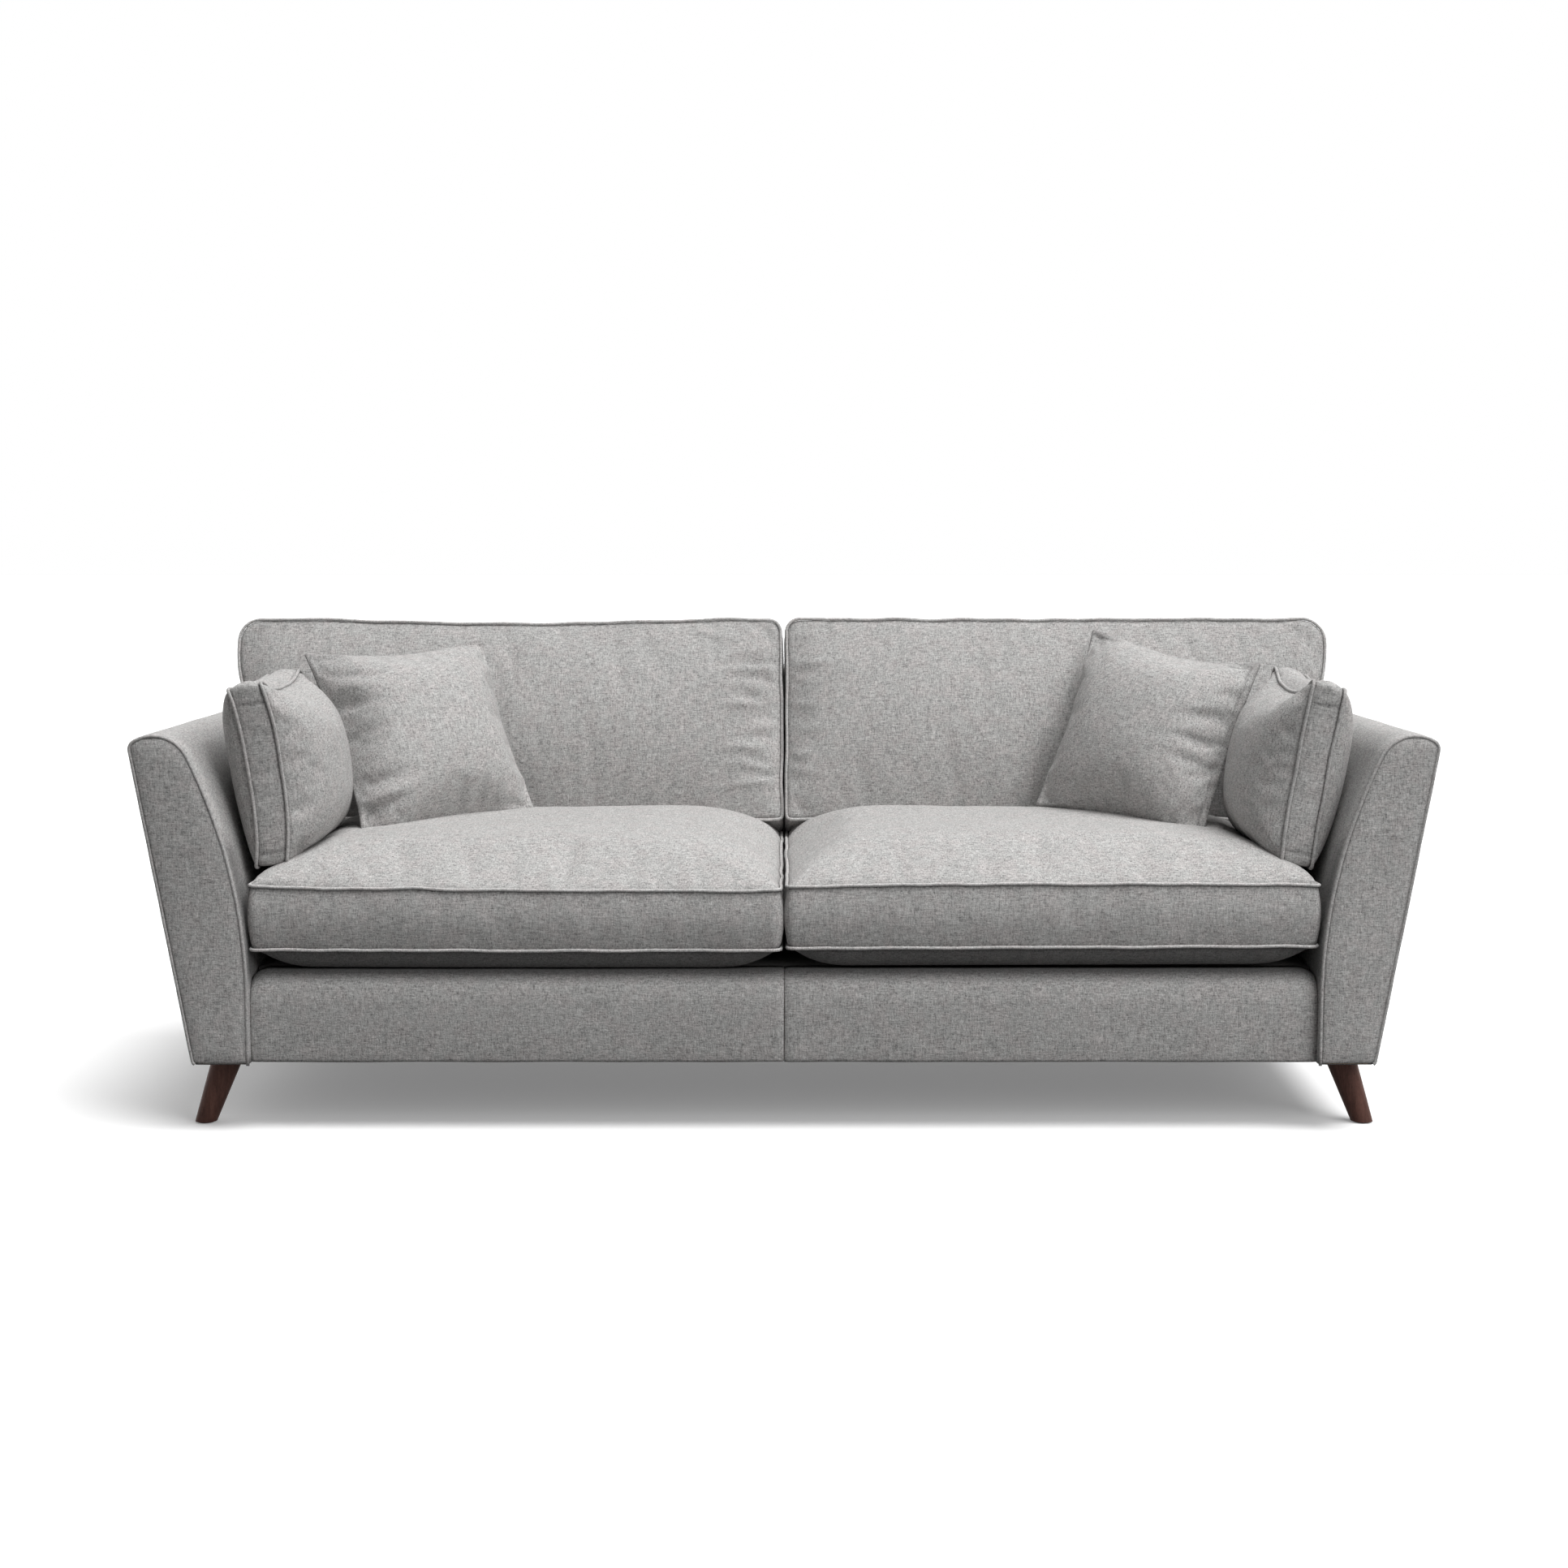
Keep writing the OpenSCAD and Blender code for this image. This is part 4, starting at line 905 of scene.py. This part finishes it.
def pull_marks(u, v, spread, count, along, length, depth, seed):
    """Row of wrinkles of like direction along v, each a little different."""
    marks = []
    for k in range(count):
        swing = math.sin(2.3 * k + seed)
        marks.append((u + 0.02 * swing, v + spread * k, along + 9 * math.cos(1.7 * k + seed),
                      length * (1 + 0.3 * swing), 8, depth * (0.8 + 0.3 * math.cos(2.9 * k + seed))))
    return marks


WRINKLES = [             # u, v, direction, then length, width and depth in millimetres
    ("back_left", pull_marks(0.92, 0.2, 0.085, 8, 4, 55, 4.5, 1)),
    ("back_left", pull_marks(0.95, 0.24, 0.085, 7, -6, 35, -4, 2)),
    ("back_left", [
        (0.05, 0.93, 60, 30, 9, -3), (0.1, 0.95, 75, 28, 9, -3), (0.16, 0.95, 85, 24, 8, -2),
        (0.84, 0.9, -12, 60, 10, 3)]),
    ("back_right", pull_marks(0.05, 0.25, 0.1, 6, -5, 35, 3.6, 3)),
    ("back_right", [
        (0.93, 0.92, 120, 30, 10, -3), (0.1, 0.93, 100, 24, 9, -2)]),
    ("scatter_left", [
        (0.12, 0.8, -14, 50, 12, -7), (0.1, 0.64, -8, 55, 13, -8), (0.14, 0.72, -11, 50, 10, 5),
        (0.1, 0.5, 0, 40, 12, -5), (0.12, 0.27, 6, 55, 12, -8), (0.11, 0.14, 12, 50, 11, -7),
        (0.15, 0.2, 9, 50, 10, 5.5), (0.55, 0.08, 85, 28, 9, -5.5), (0.66, 0.08, 80, 30, 8, -5.5),
        (0.74, 0.09, 75, 30, 9, -5), (0.6, 0.92, 100, 26, 10, -4.5)]),
    ("scatter_right", [
        (0.88, 0.6, 10, 50, 11, -6.5), (0.89, 0.49, 4, 55, 11, -6.5), (0.88, 0.38, -4, 50, 11, -6),
        (0.12, 0.9, 130, 45, 10, -4), (0.4, 0.95, 95, 24, 9, -3), (0.45, 0.05, 85, 24, 9, -3),
        (0.82, 0.08, 70, 30, 9, -4), (0.7, 0.93, 80, 26, 9, -3)]),
    ("bolster_right", [
        (0.08, 0.9, -40, 26, 6, -4.5), (0.1, 0.83, -25, 30, 6, -4.5), (0.09, 0.75, -12, 30, 6, -4),
        (0.12, 0.66, -5, 34, 6, -3.5), (0.09, 0.55, 0, 30, 6, -3), (0.12, 0.45, 5, 30, 7, -2.8),
        (0.14, 0.92, -60, 30, 7, -4), (0.08, 0.12, 20, 30, 7, -3.5)]),
    ("bolster_left", [
        (0.1, 0.9, 60, 30, 8, -3.5), (0.9, 0.9, 120, 30, 8, -3), (0.92, 0.12, 40, 30, 8, -3.5),
        (0.1, 0.12, 130, 30, 8, -3.5)]),
]
for name, places in WRINKLES:
    wrinkle(pads[name], places)


def shade_scatter(pad):
    """Painted shade along a line where the cover is sewn again beside its outer edge, and on the left
    cushion over its left side, which leans away from the light.
    """
    co = points_of(pad.obj)
    line = np.exp(-((seam_distance(pad) - 0.014) / 0.0028) ** 2)
    painted_shade(pad.obj, 0.5 * line * rise(SIDES[pad.side] * co[:, 0], 0.12, 0.15) * (co[:, 2] > 0))
    if pad.side == "left":
        painted_shade(pad.obj, 0.30 * (1 - rise(co[:, 0], -0.180, -0.085)) * (co[:, 2] > 0))


def shade_seat(pad):
    """Painted shade on the underside, and in the rear outer corner between the back, the arm and the
    bolster.
    """
    co = points_of(pad.obj)
    painted_shade(pad.obj, 0.86 * ((strip_of(pad) < 0.5) & (normals_of(pad.obj)[:, 2] < -0.1)))
    painted_shade(pad.obj, 0.6 * rise(np.abs(co[:, 0]), 0.78, 0.88) * rise(co[:, 1], -0.10, 0.02))


def shade_back(pad):
    """Painted shade on the front of the lower outer corner, behind the bolster."""
    own = points_of(pad.obj)
    co = pad.in_sofa(own)
    corner = rise(np.abs(co[:, 0]), 0.80, 0.90) * (1 - rise(co[:, 2], 0.60, 0.72))
    painted_shade(pad.obj, 0.7 * corner * rise(own[:, 2], pad.z_low + 0.03, pad.z_high))


for side in SIDES:
    shade_scatter(pads[f"scatter_{side}"])
    shade_seat(pads[f"seat_{side}"])
    shade_back(pads[f"back_{side}"])


# ---------- fixed upholstery ----------

FLARE, BASE_W = 9.9, 0.107       # lean of the outer face of an arm, and its width at the foot
SWEEP_R, BEND_Z = 1.020, 0.260   # curve of its inner face, and the height where that starts
CREST_R, CORNER_R, FOOT_R = 0.070, 0.019, 0.012  # roundings: top, outer top corner, foot
DROP = 0.020                     # fall of its top towards the rear
OUTER_T = 0.006          # thickness of the panel behind the back
OUTER_RAKE = 5.9         # its lean


def between(start, end, n):
    """The points that divide a line into n parts, without its ends."""
    return start + (end - start) * np.linspace(0, 1, n + 1)[1:-1, None]


def arm_outline(d, hem=0.0):
    """Outline of the right arm in x and z, moved in by d and up by hem: round the foot, up the outer face,
    over the crest and down the inner face."""
    sweep = np.array([HALF_IN + SWEEP_R, BEND_Z])
    crest_z = ARM_Z - CREST_R
    reach = SWEEP_R - CREST_R
    crest = np.array([sweep[0] - math.sqrt(reach ** 2 - (crest_z - sweep[1]) ** 2), crest_z])
    crest_a = math.degrees(math.atan2(crest[1] - sweep[1], crest[0] - sweep[0]))
    flare = math.radians(FLARE)
    foot = np.array([HALF_IN + BASE_W, BASE_Z])
    gap = (foot - crest) @ np.array([math.cos(flare), -math.sin(flare)])
    small = CREST_R - CORNER_R
    corner_a = math.degrees(math.acos((gap - CORNER_R) / small)) - FLARE
    corner = arc(crest, small, corner_a, corner_a, 0)[0]
    foot_r = max(FOOT_R - d, 0.001)
    tilt = math.radians(90 + FLARE)
    low = BASE_Z + hem
    edge_x = foot[0] + (low - BASE_Z) * math.tan(flare) - d / math.cos(flare)
    foot_c = np.array([edge_x - foot_r * math.tan(math.pi / 2 - tilt / 2), low + foot_r])
    start = np.array([HALF_IN + d, low])
    foot_arc = arc(foot_c, foot_r, -90, -FLARE, 5)
    corner_arc = arc(corner, CORNER_R - d, -FLARE, corner_a, 6)
    inner_arc = arc(sweep, SWEEP_R - d, crest_a, 180, 36)[1:]
    return np.vstack([start[None], between(start, np.array([foot_c[0], low]), 6), foot_arc,
                      between(foot_arc[-1], corner_arc[0], 33), corner_arc,
                      arc(crest, CREST_R - d, corner_a, crest_a, 16)[1:], inner_arc,
                      between(inner_arc[-1], start, 8)])


def outer_back_y(z):
    """Front face of the panel behind the back at the height z."""
    return REAR_Y - OUTER_T - (BACK_Z - z) * math.tan(math.radians(OUTER_RAKE))


def dropped(z, t):
    """Height on the arm, which falls towards the rear; t is 0 at its front and 1 at its rear."""
    share = np.clip((z - BEND_Z) / (ARM_Z - BEND_Z), 0, None)
    return z - DROP * t * share


def arm_inner_x(z):
    """Inner face of the arm at the height z."""
    over = np.clip(z - BEND_Z, 0, None)
    return HALF_IN + SWEEP_R - np.sqrt(SWEEP_R ** 2 - over ** 2)


def ripple(obj, amount, scale, seed):
    """Slight unevenness of padded cloth."""
    push(obj, noise_at(points_of(obj), scale, seed) * amount)


def arm(side):
    s = SIDES[side]
    cover_y = FRONT_Y + 2 * PIPE_R
    rings = []
    for t in np.concatenate([[0, 0.004, 0.012, 0.028], np.linspace(0.06, 0.97, 30), [0.985, 1.0]]):
        edge = min(t, 1 - t)
        tuck = 0.0026 * math.exp(-edge / 0.010)
        p = arm_outline(tuck)
        z = dropped(p[:, 1], t)
        y = cover_y + t * (outer_back_y(z) - SEWN - cover_y)
        rings.append(columns(p[:, 0], y, z))
    cover = loft(f"arm_skin_{side}", rings, side=s)
    co, normal = points_of(cover), normals_of(cover)
    depth = co[:, 1] - cover_y
    inside = rise(-s * normal[:, 0], 0.1, 0.7)
    level = rise(co[:, 2], 0.26, 0.30) * (1 - rise(co[:, 2], 0.50, 0.58))
    # Painted shade: a dark line behind the front piping, the inner face darker, and darkest low on the
    # inner face near the front, beside the seat cushion and the bolster.
    painted_shade(cover, 0.55 * np.exp(-(depth / 0.0035) ** 2) + 0.30 * inside * rise(depth, 0.02, 0.06))
    painted_shade(cover, 0.9 * level * inside * rise(depth, 0.0, 0.016) * (1 - rise(depth, 0.04, 0.09)))
    ripple(cover, 0.0012, 7.0, 21.0 + s)
    settle(cover, "fabric", f"arm_cover_{side}", fill=0.9)
    line = arm_outline(WELT_R)[8:]
    line = np.vstack([line, [[line[-1][0], BASE_Z - 0.001]]])
    path = columns(line[:, 0] * s, cover_y - 0.9 * WELT_R, line[:, 1])
    path[:, 0] += noise_at(path, 16.0, 23.0 + s) * 0.0006
    welt = loft(f"arm_welt_{side}", tube(path, False, (0, 1, 0), 24.0))
    # Painted shade over the whole arm piping, which takes back the piping material's painted highlight.
    painted_shade(welt, np.full(len(welt.data.vertices), 0.26))
    settle(welt, "piping", f"arm_piping_{side}")
    facing(side)


def facing(side):
    """Padded panel of the arm front: rows of points from the inner to the outer edge."""
    s = SIDES[side]
    p = arm_outline(2 * WELT_R - 0.001, WELT_R)
    top = int(np.argmax(p[:, 1]))
    outer, inner = p[6:top + 1], p[top:][::-1]
    rows, cols = 60, 14
    front_y = FRONT_Y + PIPE_R * 0.75
    back_y = FRONT_Y + 2 * PIPE_R - SEWN
    t = spaced(rows, 0.6)
    z = p[0, 1] + (p[top, 1] - p[0, 1]) * t
    x_in = np.interp(z, inner[:, 1], inner[:, 0])
    x_out = np.interp(z, outer[:, 1], outer[:, 0])
    u = spaced(cols, 0.6)
    x = x_in[:, None] + (x_out - x_in)[:, None] * u[None, :]
    zz = z[:, None] + 0 * x
    lift = (1 - np.abs(2 * u - 1)[None, :] ** 4) * (1 - np.abs(2 * t - 1)[:, None] ** 24)
    front = columns(x * s, front_y - 0.0042 * lift + 0.001, zz)
    obj = closed_panel(f"arm_face_{side}", front, columns(x * s, back_y, zz))
    # Painted shade along the edges of the panel, next to the piping.
    edge = np.minimum(np.minimum(x - x_in[:, None], x_out[:, None] - x), (p[top, 1] - zz) + 0.001)
    painted_shade(obj, np.tile(0.6 * np.exp(-(edge / 0.0030) ** 2).ravel(), 2))
    ripple(obj, 0.0009, 9.0, 26.0 + s)
    settle(obj, "fabric", f"arm_facing_{side}", fill=0.8)


def border(side):
    """Padded front of the base: its section swept along the sofa, drawn in at the seam and at the arm."""
    s = SIDES[side]
    low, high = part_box(f"front_border_{side}")
    near, far = sorted((abs(low.x), abs(high.x)))
    far += 0.002         # under the edge of the arm
    top_r, foot_r, thick, hem = 0.034, 0.007, 0.018, 0.012
    rings, shade = [], []
    for x in near + (far - near) * spaced(70, 0.75):
        seam = math.exp(-((x - near) / 0.006) ** 2)
        end = 1 - rounded(far - x, 0.030)
        sink = 0.0030 * (seam + end)
        drop = 0.003 + 0.0015 * seam + 0.018 * end
        front_y, top_z = low.y + sink, high.z - drop
        section = [arc((front_y + foot_r, BASE_Z + foot_r), foot_r, 270, 180, 5)]
        z = np.linspace(BASE_Z + foot_r, top_z - top_r, 12)[1:-1]
        swell = 0.0025 * np.sin(math.pi * (z - BASE_Z) / (top_z - BASE_Z))
        section.append(columns(front_y - swell, z))
        section.append(arc((front_y + top_r, top_z - top_r), top_r, 180, 90, 9))
        section.append(np.array([[high.y, top_z], [high.y, top_z - hem],
                                 [front_y + top_r + 0.004, top_z - hem],
                                 [low.y + thick, top_z - top_r], [low.y + thick, BASE_Z]]))
        section = np.vstack(section)
        rings.append(columns(x, *section.T))
        # Painted shade on the top of the border, under the seat cushions.
        shade.append(0.85 * rise(section[:, 1], top_z - 0.032, top_z - 0.002))
    obj = loft(f"base_border_{side}", rings, side=s)
    painted_shade(obj, np.concatenate(shade))
    ripple(obj, 0.0010, 8.0, 31.0 + s)
    settle(obj, "fabric", f"front_border_{side}", fill=0.8)


def back_line(d):
    """Half outline of the back in x and z, moved in by d: up the right side and round the top corner."""
    foot_z, shoulder_z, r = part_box("back_band")[0].z, ARM_Z - 0.119, 0.030
    slope = (shoulder_z - BEND_Z) / (HALF_IN + SWEEP_R - arm_inner_x(shoulder_z))
    z = np.linspace(foot_z, BACK_Z - r, 26)
    x = arm_inner_x(np.minimum(z, shoulder_z)) - 0.001 + np.clip(z - shoulder_z, 0, None) * slope
    return np.vstack([columns(x - d, z), arc((x[-1] - r, BACK_Z - r), max(r - d, 0.004), 10, 90, 6)])


def inside_back():
    """Inside panel and top band in one skin, with the sewn line between them."""
    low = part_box("inside_back_cover")[0]
    lean = math.tan(math.radians(RECLINE))
    band = 0.0262        # where the top band is sewn on

    def ring(d):
        """Whole outline moved in by d, and its y in the plane of the inside panel."""
        half = back_line(d)
        p = np.vstack([half, half[::-1] * np.array([-1, 1])])
        return p[:, 0], low.y + (p[:, 1] - low.z) * lean, p[:, 1]

    rings = []
    for depth, d in ((0.0, 0.014), (0.0025, 0.007), (0.007, 0.0025), (0.013, 0.0004), (0.020, 0.0),
                     (band - 0.002, 0.0006), (band, 0.0028), (band + 0.002, 0.0006), (0.036, 0.0)):
        x, y, z = ring(d)
        rings.append(columns(x, y + depth, z))
    start, end = y + depth, outer_back_y(z) - SEWN
    for t in np.linspace(0, 1, 9)[1:]:
        rings.append(columns(x, start + (end - start) * t, z))
    settle(loft("back_skin", rings), "fabric", "inside_back_cover", "back_band", fill=0.7)


def outer_back():
    """Taut rear panel over the arms and the back, with a seam down its middle."""
    arm_line = arm_outline(0.001)
    arm_line[:, 1] = dropped(arm_line[:, 1], 1)
    top = int(np.argmax(arm_line[:, 1]))
    side = arm_line[6:top + 1]
    crest_z = arm_line[top, 1]
    half = back_line(0.0)
    upper = half[half[:, 1] > crest_z]
    z_low = side[0, 1] + (crest_z - side[0, 1]) * spaced(44, 0.55)
    z_up = crest_z + (BACK_Z - crest_z) * spaced(14, 0.6)
    z_up[0] += 0.0006
    z = np.concatenate([z_low, z_up])
    edge = np.concatenate([np.interp(z_low, side[:, 1], side[:, 0]),
                           np.interp(z_up, upper[:, 1], upper[:, 0])])
    cols = 90
    u = 2 * spaced(cols, 0.6) - 1
    x = edge[:, None] * u[None, :]
    zz = z[:, None] + 0 * x
    near = np.minimum(edge[:, None] - np.abs(x), np.minimum(zz - BASE_Z, BACK_Z - zz))
    seam = 0.0018 * np.exp(-(x / 0.005) ** 2)
    plane = outer_back_y(zz)
    outer = columns(x, plane + OUTER_T * rounded(near, 0.006) - seam, zz)
    skin = closed_panel("rear_skin", outer, columns(x, plane, zz))
    settle(skin, "fabric", "outer_back_cover", fill=0.5)


def slab(name, low, high, r, cell):
    """Flat pad with edges of radius r."""
    x, y = np.meshgrid(*(a + (b - a) * spaced(round((b - a) / cell), 0.6)
                         for a, b in ((low.x, high.x), (low.y, high.y))))
    near = np.minimum(np.minimum(x - low.x, high.x - x), np.minimum(y - low.y, high.y - y))
    return closed_panel(name, columns(x, y, high.z - r * (1 - rounded(near, r))), columns(x, y, low.z))


def deck_and_underside():
    settle(slab("deck_pad", *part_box("platform_pad"), 0.006, 0.05), "lining", "platform_pad", fill=0.6)
    low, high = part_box("dust_cover")
    dust = slab("dust_cloth", low, high, 0.0006, 0.06)
    co = points_of(dust)
    u = (co[:, 0] - low.x) / (high.x - low.x)
    v = (co[:, 1] - low.y) / (high.y - low.y)
    sag = 0.004          # how far it hangs between the rails
    co[:, 2] -= sag * np.abs(np.sin(2 * math.pi * u)) * np.sin(math.pi * v)
    set_points(dust, co)
    settle(dust, "black_cloth", "dust_cover")


for side in SIDES:
    arm(side)
    border(side)
inside_back()
outer_back()
deck_and_underside()


# ---------- camera, lights, floor ----------

def place(name, data, location, rotation):
    obj = bpy.data.objects.new(name, data)
    obj.location, obj.rotation_euler = location, rotation
    bpy.context.scene.collection.objects.link(obj)
    return obj


def add_camera(location, tilt, lens):
    data = bpy.data.cameras.new("camera")
    data.lens, data.sensor_width = lens, 36.0
    bpy.context.scene.camera = place("camera", data, location, (math.radians(tilt), 0.0, 0.0))


def add_light(name, kind, direction, location=(0, 0, 0), **values):
    """Soft light; direction is where it comes from."""
    data = bpy.data.lights.new(name, kind)
    for key, value in values.items():
        setattr(data, key, value)
    return place(name, data, location, Vector(direction).to_track_quat("Z", "Y").to_euler())


def seen_by_eye(n):
    """1 for rays that draw the background: camera, glossy and transmission rays."""
    path = n.add("ShaderNodeLightPath")
    seen = path.outputs["Is Camera Ray"]
    for name in ("Is Glossy Ray", "Is Transmission Ray"):
        seen = n.math("MAXIMUM", seen, path.outputs[name])
    return seen


def add_world(light):
    """White where it is seen; light is how strongly it lights the sofa."""
    bpy.context.scene.world = bpy.data.worlds.new("world")
    n = Nodes(bpy.context.scene.world)
    background = n.tree.nodes["Background"]
    background.inputs["Color"].default_value = (1, 1, 1, 1)
    n.link(n.total((seen_by_eye(n), 1.0 - light), start=light), background.inputs["Strength"])


def add_floor(seen_colour, bounce_colour, lifted, size=30.0):
    """Pale where it is seen, with a little light of its own, and darker for the light it throws back."""
    verts = [(-size, -size, 0), (size, -size, 0), (size, size, 0), (-size, size, 0)]
    floor = make_object("floor", verts, [(0, 1, 2, 3)])
    floor.data.materials.append(bpy.data.materials.new("floor"))
    n = Nodes(floor.data.materials[0])
    seen = seen_by_eye(n)
    n.link(n.mix("MIX", seen, bounce_colour, seen_colour), n.shader.inputs["Base Color"])
    n.surface(Roughness=1.0, Specular_IOR_Level=0.0, Emission_Color=(1, 1, 1, 1))
    n.link(n.math("MULTIPLY", seen, lifted), n.shader.inputs["Emission Strength"])


add_camera(location=(0.0, -5.20, 1.1845), tilt=83.5, lens=59.74)
add_world(light=0.27)
add_light("key", "SUN", (0.30, -0.15, 1.0), energy=3.30, angle=math.radians(42.0))
add_light("behind", "SUN", (-0.55, 1.0, 0.35), energy=0.85, angle=math.radians(60.0))
fill = add_light("fill", "AREA", (2.9, -3.8, 2.1), (2.9, -3.8, 2.6), energy=78.0, size=2.5)
fill.visible_camera = False
add_floor(seen_colour=(0.86, 0.86, 0.86), bounce_colour=(0.08, 0.08, 0.08), lifted=0.20)
bpy.context.scene.view_settings.view_transform = "Standard"


# ---------- carried-over CAD nodes ----------

for part in frame["record"]["subparts"]:
    solid = frame["nodes"][part["node"]]
    solid.data.materials.clear()
    solid.data.materials.append(MATERIALS[part["material_slot"]])
